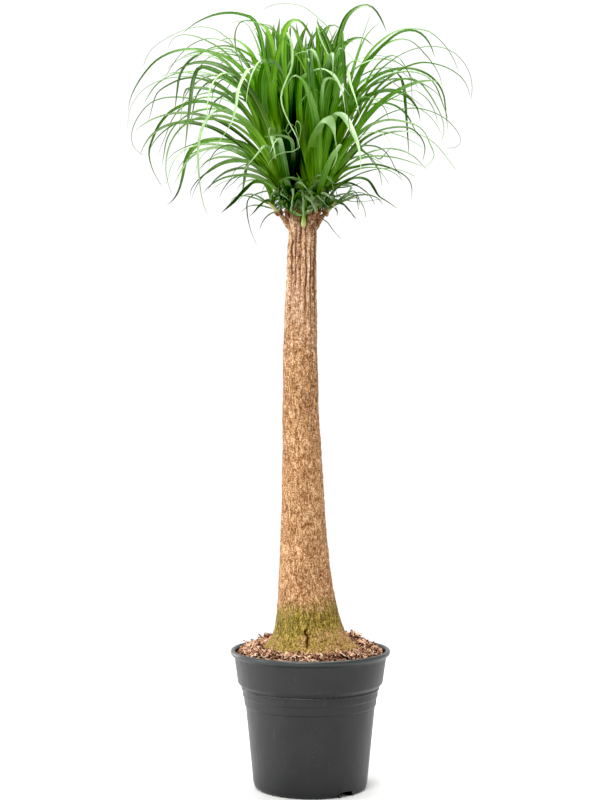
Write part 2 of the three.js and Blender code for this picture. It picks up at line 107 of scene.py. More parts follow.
# Where leaves may grow: inside the crown's reach, above its hem and clear of the stem. The
# solids' leaves also keep to their own head's sector or bubble.
CROWN = SimpleNamespace(
    reach=346, hem=1030, hem_slope=0.45, hem_lift=(150, 300), margin=0.8, dome=(1180, 312, 365),
)
CLEAR = SimpleNamespace(stem=5, collar=2.5, top=2, foot=4 * GAP)
BUBBLES = {
    "left": ((-119, -4, 1096), (69, 42, 64)),
    "right": ((90, -4, 1096), (69, 42, 64)),
    "front": ((-13, -60, 1140), (24, 30, 52)),
}
BUBBLE_INSIDE = 0.98
BUBBLE_OUTSIDE = 1.02
BUBBLE_LIMP = 1.15

# The heads of leaves, each with the same numbers as its solid, and how many leaves it gains.
BIG = (70, 4)
SHOOT = (104, 40)
HEAD_NUMBERS = (
    "name", "collar", "foot", "aim", "core", "leaves", "longest", "widest", "launch", "place",
    "seed", "extra", "skirt",
)
HEADS = [dict(zip(HEAD_NUMBERS, numbers)) for numbers in (
    ("leaf_head_left", ((-9, -8, 1050), 13), (-19, -18, 1112), (-0.26, -0.18, 1),
     (13, 82), 39, 545, 21, BIG, (180, 270), 101, 5, 28),
    ("leaf_head_right", ((9, -8, 1050), 13), (19, -18, 1112), (0.28, -0.18, 1),
     (13, 82), 39, 550, 21, BIG, (-90, 0), 202, 5, 26),
    ("leaf_head_back_left", ((-8, 9, 1050), 12), (-15, 20, 1112), (-0.15, 0.28, 1),
     (12.5, 78), 34, 535, 19, BIG, (75, 180), 303, 16, 20),
    ("leaf_head_back_right", ((8, 9, 1050), 12), (20, 15, 1112), (0.28, 0.22, 1),
     (11, 74), 28, 530, 19, BIG, (0, 75), 404, 14, 18),
    ("side_shoot_left", ((-18, -2, 1072), 8), (-46, -4, 1112), (-0.8, -0.15, 0.75),
     (6, 34), 14, 150, 9, SHOOT, "left", 505, 0, 0),
    ("side_shoot_right", ((18, -2, 1072), 9), (44, -4, 1112), (0.8, -0.15, 0.75),
     (6.5, 34), 14, 150, 9, SHOOT, "right", 606, 0, 0),
    ("front_shoot", ((1, -18, 1072), 8), (2, -36, 1096), (0.05, -0.42, 1),
     (5.5, 22), 8, 110, 8, (50, 6), "front", 707, 3, 0),
)]
CORE_SWELL = ((0, 1), (0.2, 1.25), (0.6, 0.85), (1, 0.45))
# How thick a head's heart is drawn: the leaves that clasp it make up the rest.
HEART = {"head": 0.82, "shoot": 0.55, "steps": 12, "sides": 20, "shade": 0.5}
# The pale bulb at the foot of the front shoot: where its line starts and ends, how far to the front
# of the shoot's own line, and its radius, which is least at its foot.
BULB = SimpleNamespace(
    start=0.35, end=7, forward=((0, 6, 0), (0, 2, 0)), least=0.8, swell=3.8, fullest=0.55,
    round=0.7, top=1.4, green=0.1,
)
# The branches under the heads. A side shoot's is a thin stub that leaves the stem near its top.
BRANCH = SimpleNamespace(
    sides=40, steps=36, foot=0.82, front_foot=3.5, knee=0.25, widens=(0.5, 1), bumps=1.2,
    cracks=1.1, brown=0.4, brown_from=(0.35, 0.8),
)
STUB = SimpleNamespace(
    start=0.08, up=5, knee=(0.75, 0.3), radius=4.6, foot=2.8, foot_ends=(0.65, 0.15), brown=0.42,
)

# Pairs run from the oldest leaf, at a core's foot, to the youngest, in its heart.
LEAF = SimpleNamespace(
    steps=42, heights=(0.14, 0.97), root_depth=4, root_width=0.42, root_length=0.2,
    prime=(0.07, 0.81), least_length=0.3, least_width=0.62, steepening=0.55, tips=(172, 122),
    stiffness=(1.3, 2.4), stiffening=0.6, tipping=3, channel=0.2, keel=0.45, steady=0.6, taper=1.5,
    seed=9,
)
SPREAD = SimpleNamespace(
    length=(0.84, 1.06), width=(0.82, 1.06), stiffness=(0.85, 1.2), spiral=0.5, launch=16,
    steepest=3, tip=34, side_share=0.85, heading_share=0.68, heading=0.3, drift=0.9, twist=120,
)
PLACING = SimpleNamespace(
    draws=70, choices=8, shortening=0.45, crowd_from=11, crowd_gap=3, crowd_share=0.42,
    head_free_from=4, shoot_free_from=9,
)
# The leaves that are only here: narrower, with longer thin tips that hang.
EXTRA = SimpleNamespace(width=(0.3, 0.75), length=(0.6, 1.0), outward=0.5, seed=5000)
# The short leaves round the foot of a head: they curl over and hide it.
SKIRT = SimpleNamespace(
    ages=(0.0, 0.25), width=(0.5, 1.0), length=(0.2, 0.5), shortening=0.5, curl=4.2, droop=0.55,
    above_hem=(4, 0), wedge=(1076, 0.9), bloom=(1.4, 0.75), seed=8000,
)
# The seen leaves take the place of some of the solids' own. Of those that end further aside than
# this and above this height, a share is kept.
ASIDE = SimpleNamespace(reach=120, low=1172)
THINNED = {
    "leaf_head_left": 0.6, "leaf_head_right": 0.2, "leaf_head_back_left": 0.65,
    "leaf_head_back_right": 0.4, "side_shoot_left": 0.4, "side_shoot_right": 0.4,
}
# Leaves are painted darker in the nook between the heads and at the heads' feet: painted shade.
NOOK = SimpleNamespace(middle=(-36, 0, 1228), size=(29, 72, 100), foot=(1205, 1135))
# The cleft in front of the nook, which the front heads' leaves leave open.
CLEFT = SimpleNamespace(middle=(-34, -55, 1245), size=(18, 70, 72))
# How far a real leaf departs from its solid's smooth arch: it goes limp, kinks and curls.
LIMP = SimpleNamespace(
    hangs_from=(0.85, 1.2), tip=(136, 176), kinked=0.2, kink=(30, 70), kink_at=(0.42, 0.8),
    kink_length=0.06, curl=1.4, curls_from=0.55, facing=(0.0, 0.38), slimmer=0.78, taper=2.3,
    tries=12, shorter=0.93, above_hem=(60, 0),
)

# The photograph's frame: millimetres to a pixel at the stem, and the camera's own place.
PHOTO = SimpleNamespace(scale=1.94, middle=(300, 400), camera=(-20, -3050, 749), top=4)
# A seen leaf: how far up its head's core it starts, how soon it is at its own depth, how far it
# turns its face to the front where it runs sideways, and its tone. Behind the gap between the front
# heads it stands in their shade, and its tone is painted darker for it: painted shade.
SEEN = SimpleNamespace(
    root=0.35, depth=(0.12, 0.88, 0.95), facing=0.4, age=0.7, pale=0.3, pale_tone=0.8,
    shaded_tone=0.45,
)
# Narrow leaves taper from their root on. Broad ones keep their width almost to the end, and pale
# ones less so.
ENDS = {"widths": (6, 16), "narrow": 1.6, "broad": 7, "pale": 2.6}
# Steps of the smooth path between two places that a leaf runs through.
PATH_STEPS = 16
# The leaves that the photograph shows one by one, by the head that bears each. First the width in
# millimetres, how far back the leaf ends, its twist and how pale its bloom is, partly wax and partly
# painted sheen, then the places in the photograph that it runs through, x and y of each.
SEEN_LEAVES = {
    "leaf_head_left": [
        (10, -30, 10, 0, 275, 130, 266, 70, 261, 38, 254, 20, 243, 14.5, 230, 12.5, 215, 14.5, 200, 20.5,
         190, 27, 182, 34),
        (12, 40, 30, 0, 276, 120, 274, 60, 268, 32, 256, 21.5, 242, 21, 236, 29, 235, 42, 238, 56),
        (9, 60, 20, 0, 262, 100, 245, 60, 230, 44, 215, 38.5, 203, 39.5, 190, 45.5, 178, 57, 170, 69,
         164, 79),
        (7, -110, 60, 0, 262, 110, 245, 75, 225, 52, 205, 40, 192, 35.5, 180, 35, 172, 40, 167, 50),
        (9, 30, 10, 0, 255, 110, 235, 72, 215, 54, 195, 49, 175, 51, 158, 59, 146, 71, 136, 86, 130, 100,
         128, 114),
        (3, 120, 0, 0, 240, 60, 222, 34, 205, 27, 187, 29, 165, 39, 150, 51, 142, 68),
        (8, -60, 20, 0, 255, 125, 235, 98, 215, 84, 198, 78, 183, 78.5, 168, 85, 158, 92, 154, 100, 151, 112,
         147, 126),
        (3, 140, 0, 0, 240, 90, 215, 76, 190, 76, 165, 79, 147, 87, 136, 98, 129, 113, 127.5, 132),
        (6, -90, 0, 0, 245, 125, 225, 112, 210, 104, 195, 99.5, 180, 97, 163, 98, 149, 104, 138, 117,
         132, 131, 132, 143, 138, 152, 147, 156),
        (9, 50, 30, 0, 255, 135, 232, 112, 215, 104, 200, 101, 185, 104, 170, 112, 159, 125, 153, 138,
         149, 152, 152, 168, 158, 180, 163, 188),
        (8, -40, 10, 0, 262, 150, 240, 128, 220, 120, 200, 119, 182, 121, 168, 128, 157, 138, 150, 149,
         148.5, 160),
        (9, -130, 40, 0.4, 255, 135, 230, 118, 208, 116, 190, 121, 178, 131, 170, 144, 166.5, 158, 166, 172,
         169, 186, 173, 197),
        (14, -235, 70, 0.7, 262, 110, 256, 75, 249, 69, 243, 77, 238, 90, 236, 105, 233, 118, 228, 129,
         218, 143, 208, 154),
        (13, -225, 70, 0.75, 275, 120, 266, 66, 261, 61, 255, 67, 250, 80, 247, 95, 246, 110),
        (9, -245, 0, 0.8, 252, 110, 238, 80, 226, 73, 217, 77, 211, 87, 208, 100, 207, 118, 206, 138),
        (11, -265, 60, 0.45, 262, 140, 236, 115, 218, 110, 206, 120, 200, 135, 198, 150, 198.5, 170,
         200.5, 190, 204, 206, 209, 218),
        (8, -20, 30, 0, 262, 180, 243, 175, 226, 177, 212, 184, 202, 194),
        (11, 70, 60, 0, 250, 150, 225, 140, 205, 141, 193, 148, 186, 160, 183, 175, 179, 190, 173, 200,
         166, 206),
        (7, -20, 10, 0, 262, 158, 245, 143, 225, 139, 205, 141, 188, 146, 174, 153, 166, 162),
        (8, -100, 20, 0, 262, 165, 245, 151, 230, 145, 218, 149, 211, 158, 208, 168),
        (9, 20, 20, 0, 265, 172, 248, 162, 232, 157, 217, 157.5, 206, 162, 200, 170),
        (8, -120, 40, 0, 268, 174, 250, 163, 236, 161, 222, 164, 208, 172, 198, 180, 191, 190, 190, 199),
        (6, -60, 0, 0, 268, 178, 252, 165, 241, 166, 234, 172, 231, 179),
        (9, -60, 30, 0.1, 266, 176, 245, 168, 228, 171, 215, 180, 207, 191),
        (8, -100, 20, 0, 266, 180, 248, 174, 233, 178, 224, 188, 219, 198),
        (7, 20, 20, 0, 262, 168, 240, 159, 220, 163, 205, 174, 196, 187, 191, 200),
        (11, -200, 60, 0.6, 276, 165, 270, 150, 264, 146, 257, 154, 249, 164, 241, 175),
        (7.5, -240, 0, 0.6, 287, 120, 285, 55, 287, 33, 292, 46, 292, 66, 285, 83, 281, 97, 284, 111,
         291, 126, 298, 140, 299, 149, 291, 152, 280, 153, 271, 160, 266, 170),
        (9, -190, 60, 0.1, 293, 165, 292, 142, 284, 136, 272, 135.5, 260, 138),
        (3, -170, 90, 0.5, 293, 160, 291, 140, 286, 131, 289, 124, 295, 127, 297, 134),
        (2.5, -150, 90, 0.4, 296, 160, 297, 140, 293, 129, 288, 134, 284, 130, 276, 134),
        (3, -160, 120, 0.6, 297, 160, 299, 142, 296, 128, 297, 121, 301, 127, 299, 142),
        (15, -45, 10, 0, 276, 130, 273, 85, 278, 52, 283.5, 32),
        (13, -35, 20, 0, 288, 130, 282, 82, 270, 64, 257, 53),
        (20, -110, 0, 0.15, 268, 140, 262, 95, 264, 70, 270, 60, 279, 66, 285, 78),
        (8, -160, 10, 0.5, 285, 90, 291, 60, 302, 52, 313, 54, 318, 63),
        (16, -10, 0, 0, 280, 130, 272, 85, 268, 55, 266, 30),
        (14, 20, 0, 0, 288, 120, 291, 80, 296, 50, 303, 30),
        (14, 30, 20, 0, 285, 110, 281, 60, 284, 32, 292, 21, 301, 22, 309, 33, 315, 48),
        (13, 50, 10, 0, 270, 110, 255, 62, 244, 45, 230, 38, 218, 42),
        (10, 70, 10, 0.3, 270, 110, 262, 60, 252, 32, 244, 22, 236, 21),
    ],
    "leaf_head_right": [
        (12, 20, 30, 0, 330, 110, 338, 45, 344, 22, 352, 11, 361, 6, 369, 5.5, 376, 11, 382, 21, 387, 33),
        (3, 60, 0, 0, 338, 90, 331, 35, 318, 18, 303, 6.5, 287, 3.5, 272, 5, 262, 10),
        (13, -230, 50, 0.95, 301, 130, 300, 84, 309, 73, 321, 69, 333, 74, 341, 88, 344, 102, 346, 116),
        (19, -215, 0, 0.31, 320, 165, 318.5, 140, 314, 110, 306, 86, 298, 76, 291, 78, 286, 88),
        (19, -150, 0, 0, 321, 165, 322, 130, 326, 95, 333, 76, 343, 66),
        (16, -255, 60, 1.0, 325, 150, 332, 120, 338, 113, 345, 117, 352, 130, 358, 145, 360.5, 160,
         361, 175),
        (24, -225, 150, 0.5, 312, 168, 313, 142, 321, 123, 328, 119, 333, 127, 336, 142, 337, 153, 335, 162,
         331, 170),
        (14, -240, 0, 1.0, 333, 120, 338, 82, 342, 64, 347, 70, 351, 85, 356, 100, 360, 116),
        (9, -180, 0, 0.7, 333, 90, 336, 58, 343, 51, 350, 55, 354, 64, 355, 77),
        (18, -50, 0, 0, 322, 130, 334, 90, 333, 60, 325, 36, 316, 21),
        (14, -40, 10, 0, 330, 120, 341, 70, 343, 29),
        (10, -170, 20, 0.7, 322, 120, 318, 60, 317, 26, 321, 40, 329, 56, 337, 73),
        (12, 10, 20, 0, 340, 120, 358, 75, 372, 56, 386, 42, 399, 32.5, 412, 30, 422, 34, 430, 44, 435, 58),
        (8, 60, 10, 0, 345, 110, 365, 60, 385, 38, 402, 29.5, 418, 29, 430, 32, 441, 41, 449, 51, 455, 62,
         459, 74),
        (5, -60, 50, 0, 352, 110, 375, 75, 400, 55, 420, 47.5, 436, 46.5, 449, 50, 460, 58, 468, 70, 472, 84,
         471, 101),
        (8, -20, 10, 0, 350, 130, 375, 90, 400, 70, 420, 62.5, 436, 64, 450, 69, 461, 77, 467, 86, 471, 99),
        (8, 100, 20, 0, 345, 120, 365, 65, 385, 45, 402, 39, 414, 43, 424, 53, 433, 64, 440, 77, 443, 92),
        (6, -150, 0, 0, 350, 120, 370, 75, 385, 58, 396, 56, 405, 66, 411, 80, 412, 96, 414, 118),
        (7, -130, 10, 0, 350, 130, 368, 90, 384, 79, 399, 87, 412, 98, 426, 109),
        (10, 40, 30, 0.35, 350, 140, 372, 100, 390, 83, 405, 78.5, 418, 81, 428, 92, 436, 105, 442, 118,
         444, 130, 441, 143),
        (5, 100, 0, 0, 350, 150, 375, 122, 395, 111, 415, 108, 433, 112, 447, 120, 457, 131, 461, 141,
         456, 147, 444, 148.5),
        (11, -70, 40, 0.5, 345, 150, 365, 128, 385, 120, 402, 121, 416, 125, 425, 133, 430, 144, 434, 154,
         431, 162, 423, 168),
        (9, 30, 20, 0, 345, 158, 362, 140, 378, 131, 395, 127, 410, 128, 420, 136, 425, 148, 422, 163),
        (6, 90, 0, 0, 355, 150, 370, 134, 385, 132, 400, 135.5, 412, 141, 425, 149),
        (8, -90, 20, 0, 340, 165, 355, 148, 370, 145.5, 382, 149, 390, 158, 395, 168, 403, 179),
        (9, 50, 90, 0, 342, 165, 358, 157, 370, 154.5, 379, 159, 385, 154, 392, 146),
        (8, -30, 10, 0, 342, 172, 358, 166, 373, 164, 388, 167, 401, 173, 409, 180, 412, 189, 411, 199),
        (9, 20, 30, 0, 345, 181, 358, 177.5, 368, 180, 374, 188, 379, 196, 388, 202, 398, 209),
        (5, -120, 0, 0, 352, 150, 364, 151, 374, 164, 383, 175, 390, 186),
        (9, -60, 30, 0, 338, 184, 350, 183, 361, 188, 370, 196, 375, 205),
        (8, 40, 10, 0, 342, 170, 362, 158, 384, 156, 405, 160, 424, 167),
        (7, -60, 20, 0, 344, 176, 362, 168, 380, 168, 394, 173, 403, 181),
        (13, 30, 10, 0, 316, 120, 306, 70, 306, 34),
        (14, 10, 10, 0, 320, 120, 316, 70, 311, 32),
        (7, -30, 10, 0, 340, 110, 352, 70, 361, 42, 366, 27, 371, 13),
        (9, 10, 10, 0, 345, 100, 356, 60, 364, 40, 371, 30, 380, 22),
        (16, -20, 0, 0, 318, 130, 323, 90, 327, 60, 324, 34),
        (13, 40, 0, 0, 312, 120, 310, 80, 299, 40, 290, 25, 283, 32),
        (14, 60, 20, 0, 325, 110, 336, 60, 348, 42, 362, 38, 374, 46),
    ],
    "leaf_head_back_left": [
        (15, 55, 0, 0, 290, 150, 288, 100, 286, 60, 281, 27),
        (14, 15, 0, 0, 296, 160, 299, 110, 301, 70, 298, 40),
        (13, 120, 0, 0, 292, 150, 296, 90, 305, 50, 312, 40),
        (13, 80, 0, 0, 283, 150, 274, 90, 262, 48, 255, 30),
        (14, 135, 20, 0, 285, 140, 283, 70, 275, 32, 262, 24, 252, 32),
        (16, 50, 0, 0, 298, 170, 303, 130, 303, 90, 300, 62),
        (13, 30, 0, 0, 292, 150, 290, 90, 289, 50, 291, 24),
        (13, 80, 10, 0, 296, 150, 302, 80, 312, 40, 324, 24),
        (13, 40, 0, 0, 286, 150, 278, 90, 271, 52, 268, 27),
        (16, 40, 0, 0, 284, 150, 277, 90, 273, 50, 274, 23),
        (15, 75, 0, 0, 296, 150, 289, 80, 286, 45, 288, 21),
        (14, 65, 0, 0, 290, 150, 283, 80, 278, 40, 280, 17),
        (14, 100, 0, 0, 288, 150, 280, 85, 272, 48, 260, 25),
    ],
    "leaf_head_back_right": [
        (15, 60, 0, 0, 306, 150, 304, 100, 307, 60, 313, 30),
        (14, 105, 0, 0, 312, 150, 322, 90, 334, 50, 343, 35),
        (14, 20, 0, 0, 303, 170, 298, 130, 294, 95, 294, 60),
        (13, 125, 10, 0, 308, 150, 312, 80, 320, 40, 328, 27, 337, 26, 345, 36),
        (14, 80, 0, 0, 306, 150, 300, 90, 292, 50, 290, 34),
        (13, 45, 0, 0, 310, 150, 318, 90, 328, 50, 338, 27),
        (13, 90, 10, 0, 305, 150, 303, 90, 299, 45, 296, 22),
        (13, 50, 0, 0, 312, 150, 328, 100, 340, 60, 349, 36),
        (16, 60, 10, 0, 300, 150, 297, 80, 300, 45, 308, 22),
        (16, 30, 0, 0, 304, 150, 309, 90, 319, 50, 331, 24),
        (15, 20, 0, 0, 314, 150, 324, 90, 332, 52, 341, 24),
        (14, 95, 0, 0, 310, 150, 318, 80, 322, 45, 317, 18),
    ],
    "side_shoot_left": [
        (11, -60, 50, 0, 268, 185, 256, 181, 246, 188, 236, 199, 228, 207, 221, 213),
        (4, -30, 0, 0, 270, 192, 256, 194, 248, 200, 247, 211, 249, 224, 252, 234, 257, 245),
        (9, -50, 40, 0, 268, 200, 260, 205, 254, 212, 249, 217),
        (5, 10, 10, 0, 264, 181, 250, 175, 241, 176, 233, 183, 225, 190),
        (6, 20, 10, 0, 266, 186, 255, 180, 245, 181.5, 239, 186, 237, 191),
    ],
    "side_shoot_right": [
        (13, -40, 40, 0, 331, 201, 338, 201, 345, 206, 351, 213, 356, 219),
        (6, -30, 20, 0, 328, 209, 333, 207, 337, 211, 337, 217),
        (3, 20, 0, 0, 336, 196, 350, 201, 363, 201.5, 375, 200, 385, 199),
        (3, -20, 0, 0, 322, 217, 328, 223, 333, 230, 341, 239),
        (7, 0, 20, 0, 334, 190, 345, 187, 355, 185, 362, 182),
    ],
    "front_shoot": [
        (10, -75, 10, 0.5, 302.5, 205, 302, 192, 300, 180, 296, 172),
        (8, -80, 60, 0.5, 299, 200, 293, 206, 295, 197, 301, 190, 303, 199, 303, 219),
        (8, -75, 20, 0.6, 308, 195, 311, 182, 318, 175.5, 327, 178, 335, 184),
        (6, -70, 30, 0, 308, 205, 316, 196, 322, 199, 325, 207),
        (6, -65, 0, 0, 305, 210, 311, 206, 319, 204, 327, 209),
        (8, -62, 70, 0, 297, 214, 289, 209, 279, 200, 273, 194),
        (5, -65, 30, 0.3, 306, 211, 314, 209, 320, 203, 320, 193),
    ],
}
# Upright leaves that close the crown between its front heads and its back ones: the width, how far
# each leans to the side and its height, in millimetres. INNER says where each starts and bends.
INNER = SimpleNamespace(root=0.2, bend=(0.15, 0.8, 0.4))
INNER_LEAVES = {
    "leaf_head_left": [(21, -26, 330), (19, -64, 250), (18, -100, 190)],
    "leaf_head_right": [(21, 24, 320), (19, 66, 240), (18, 104, 180)],
    "leaf_head_back_left": [(20, -8, 345), (19, -46, 290), (18, -84, 225)],
    "leaf_head_back_right": [(20, 6, 335), (19, 44, 280), (18, 86, 215)],
}


def linear(code):
    """An sRGB hex colour as the linear colour that Blender works with."""
    shares = [int(code[i : i + 2], 16) / 255 for i in (1, 3, 5)]
    return tuple(s / 12.92 if s <= 0.04045 else ((s + 0.055) / 1.055) ** 2.4 for s in shares)


def opaque(colour):
    """A colour with full alpha, as a colour socket takes it."""
    return (*colour, 1.0)


def per_metre(millimetres):
    """The scale of a pattern whose grains measure so many millimetres."""
    return 1 / (millimetres * MM)


def lerp(low, high, share):
    return (1 - share) * low + share * high


def smoothstep(value, low, high):
    share = np.clip((value - low) / (high - low), 0, 1)
    return share * share * (3 - 2 * share)


def unit(vector):
    vector = np.asarray(vector, float)
    return vector / np.linalg.norm(vector)


def lengths(vectors):
    return np.linalg.norm(vectors, axis=1)


def units(vectors):
    return vectors / lengths(vectors)[:, None]


def directions(path):
    """The unit direction of a path at each of its points."""
    return units(np.gradient(path, axis=0))


def rotated(x, y, angle):
    """Both coordinates after a turn by an angle."""
    return x * np.cos(angle) - y * np.sin(angle), x * np.sin(angle) + y * np.cos(angle)


def bend(start, knee, end, share):
    """A point on the curve that leaves start for the knee and comes from there to end."""
    return (1 - share) ** 2 * start + 2 * share * (1 - share) * knee + share**2 * end


def gone_along(points):
    """How far along its path each point lies."""
    return np.concatenate([[0], np.cumsum(lengths(np.diff(points, axis=0)))])


def random_stream(seed):
    """A repeatable stream of numbers from 0 to 1, the same as the solids' own."""
    state = seed

    def draw():
        nonlocal state
        state = (state * 1664525 + 1013904223) % 2**32
        return state / 2**32

    for _ in range(5):
        draw()
    return draw


def shape(points, quads=(), tris=(), **marks):
    """Points in millimetres, faces, and a number at every point for each mark."""
    points = np.asarray(points, float).reshape(-1, 3)
    return {
        "points": points,
        "quads": np.asarray(quads, int).reshape(-1, 4),
        "tris": np.asarray(tris, int).reshape(-1, 3),
        "marks": {name: np.broadcast_to(mark, len(points)) for name, mark in marks.items()},
    }


def merged(shapes):
    """Several shapes with the same marks as one."""
    starts = np.cumsum([0] + [len(s["points"]) for s in shapes[:-1]])
    return {
        "points": np.concatenate([s["points"] for s in shapes]),
        "quads": np.concatenate([s["quads"] + at for s, at in zip(shapes, starts)]),
        "tris": np.concatenate([s["tris"] + at for s, at in zip(shapes, starts)]),
        "marks": {
            name: np.concatenate([s["marks"][name] for s in shapes]) for name in shapes[0]["marks"]
        },
    }


def skinned(rings, tip=None, **marks):
    """A closed skin over rings of equal size, with a fan at either end."""
    rings = np.asarray(rings, float)
    count, size = rings.shape[:2]
    ends = [rings[0].mean(0), rings[-1].mean(0) if tip is None else tip]
    around = np.arange(size)
    after = (around + 1) % size
    first = np.arange(count - 1)[:, None] * size
    quads = np.stack([first + around, first + after, first + size + after, first + size + around], -1)
    start, last = count * size, (count - 1) * size
    low = np.stack([after, around, np.full(size, start)], -1)
    high = np.stack([last + around, last + after, np.full(size, start + 1)], -1)
    ended = {
        name: np.concatenate([mark.ravel(), [mark[0].mean(), mark[-1].mean()]])
        for name, mark in ((n, np.broadcast_to(m, (count, size))) for n, m in marks.items())
    }
    points = np.concatenate([rings.reshape(-1, 3), ends])
    return shape(points, quads, np.concatenate([low, high]), **ended)


def looped(rings, **marks):
    """A ring-shaped skin: the last ring joins the first again."""
    rings = np.asarray(rings, float)
    count, size = rings.shape[:2]
    around = np.arange(size)
    after = (around + 1) % size
    this = np.arange(count)[:, None] * size
    following = (np.arange(count)[:, None] + 1) % count * size
    quads = np.stack([this + around, this + after, following + after, following + around], -1)
    flat = {name: np.broadcast_to(mark, (count, size)).ravel() for name, mark in marks.items()}
    return shape(rings.reshape(-1, 3), quads, **flat)


def circle(radius, height, sides):
    """A level ring round the pot's axis. Radius and height may differ from side to side."""
    angle = TURN * np.arange(sides) / sides
    radius, height = np.broadcast_to(radius, sides), np.broadcast_to(height, sides)
    return np.stack([radius * np.cos(angle), radius * np.sin(angle), height], -1)


def tube(path, radii, sides, **marks):
    """A round tube along a path."""
    path = np.asarray(path, float)
    along = directions(path)
    side = units(np.cross(along, (0.31, 0.95, 0.05)))
    up = np.cross(side, along)
    angle = TURN * np.arange(sides) / sides
    radii = np.broadcast_to(np.asarray(radii, float), (len(path), sides))
    rings = path[:, None] + radii[..., None] * (
        np.cos(angle)[:, None] * up[:, None] + np.sin(angle)[:, None] * side[:, None]
    )
    return skinned(rings[:, ::-1], **marks)


def mesh_object(name, form):
    """A mesh object in metres, with a number attribute for each of the form's marks."""
    mesh = bpy.data.meshes.new(name)
    faces = form["quads"].tolist() + form["tris"].tolist()
    mesh.from_pydata((form["points"] * MM).tolist(), [], faces)
    for mark, values in form["marks"].items():
        layer = mesh.attributes.new(mark, "FLOAT", "POINT")
        layer.data.foreach_set("value", np.ascontiguousarray(values, np.float32))
    piece = bpy.data.objects.new(name, mesh)
    bpy.context.scene.collection.objects.link(piece)
    return piece


def finish_piece(piece, material, replaced, crease=40):
    """Smooths a piece up to a crease angle, gives it its finish and puts it on the plant."""
    piece.data.materials.append(material)
    piece.data.shade_smooth()
    piece.data.set_sharp_from_angle(angle=math.radians(crease))
    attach(piece, "root")
    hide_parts(*replaced)


def add_piece(name, form, material, replaced, crease=40):
    piece = mesh_object(name, form)
    finish_piece(piece, material, replaced, crease)
    return piece


def add_node(tree, kind, inputs=None, out=0, ramp=(), **settings):
    """Adds a shader node with its settings and links, and gives one of its outputs.

    An input is a value, or a socket to link from.
    """
    node = tree.nodes.new("ShaderNode" + kind)
    for name, value in settings.items():
        setattr(node, name, value)
    for name, value in (inputs or {}).items():
        if isinstance(value, bpy.types.NodeSocket):
            tree.links.new(value, node.inputs[name])
        else:
            node.inputs[name].default_value = value
    for index, (position, colour) in enumerate(ramp):
        elements = node.color_ramp.elements
        element = elements[index] if index < 2 else elements.new(position)
        element.position = position
        element.color = opaque(colour)
    return node.outputs[out] if node.outputs else None


def new_material(name):
    """An empty material, and add_node for its own tree."""
    material = bpy.data.materials.new(name)
    material.use_nodes = True
    material.node_tree.nodes.clear()
    return material, partial(add_node, material.node_tree)


SMOOTH = {"interpolation_type": "SMOOTHSTEP"}
COLOURS = {"out": 2, "data_type": "RGBA"}


def stem_axis(z):
    size, fade = STEM.lean
    bow, start, length = STEM.bow
    rise = np.maximum(z - STEM.flare_from, 0)
    bowed = np.clip((z - start) / length, 0, 1)
    return STEM.foot_aside - size * (1 - np.exp(-rise / fade)) - bow * np.sin(math.pi * bowed)


STEM_END = stem_axis(STEM.top)


def stem_radius(z):
    height = np.maximum(z, STEM.soil)
    rise = height - STEM.flare_from
    straight = STEM.tip_radius + STEM.taper * (STEM.taper_top - height)
    return straight + sum(size * np.exp(-rise / fade) for size, fade in STEM.flares)


def lobed_radius(z, angle):
    """The stem's radius with the broad lobes where its roots spread."""
    swell = LOBES.share * np.exp(-np.maximum(z - STEM.soil, 0) / LOBES.fade)
    return stem_radius(z) * (1 + swell * np.cos(LOBES.count * angle + LOBES.phase))


def rib_wave(z):
    return RIBS.wave * np.sin(z / RIBS.wavelength)


def ring_noise(turn, height, around, rise, seed):
    """Smooth noise from -1 to 1 on the stem, with so many bumps in a turn, one each rise."""
    u, v = turn * around, height / rise
    column, row = np.floor(u).astype(int), np.floor(v).astype(int)
    values = np.random.default_rng(seed).random((row.max() - row.min() + 2, around)) * 2 - 1
    row_at = row - row.min()
    right, up = smoothstep(u - column, 0, 1), smoothstep(v - row, 0, 1)
    low = lerp(values[row_at, column % around], values[row_at, (column + 1) % around], right)
    high = lerp(values[row_at + 1, column % around], values[row_at + 1, (column + 1) % around], right)
    return lerp(low, high, up)


def layered_noise(turn, height, around, rise, seed, layers=3):
    total = 0
    for layer in range(layers):
        scale = 2**layer
        total = total + ring_noise(turn, height, around * scale, rise / scale, seed + layer) / scale
    return total


# Relief of the bark in millimetres, and where it changes on the way up.
BARK = SimpleNamespace(
    sides=184, rows=530, furrow_zone=(820, 1010), foot_zone=(330, 470), furrows=17,
    furrow_depth=1.9, plate_depth=0.95, fine_depth=0.8, grain_depth=0.45, swell=0.8,
    split={"angle": -94, "middle": 297, "half_height": 19, "half_width": 2.9, "depth": 7},
)


def crackle(turn, height, around, rise, seed, width):
    """Meandering cracks, 1 at their middle: the places where layered noise changes sign."""
    return np.clip(1 - np.abs(layered_noise(turn, height, around, rise, seed, 2)) / width, 0, 1)


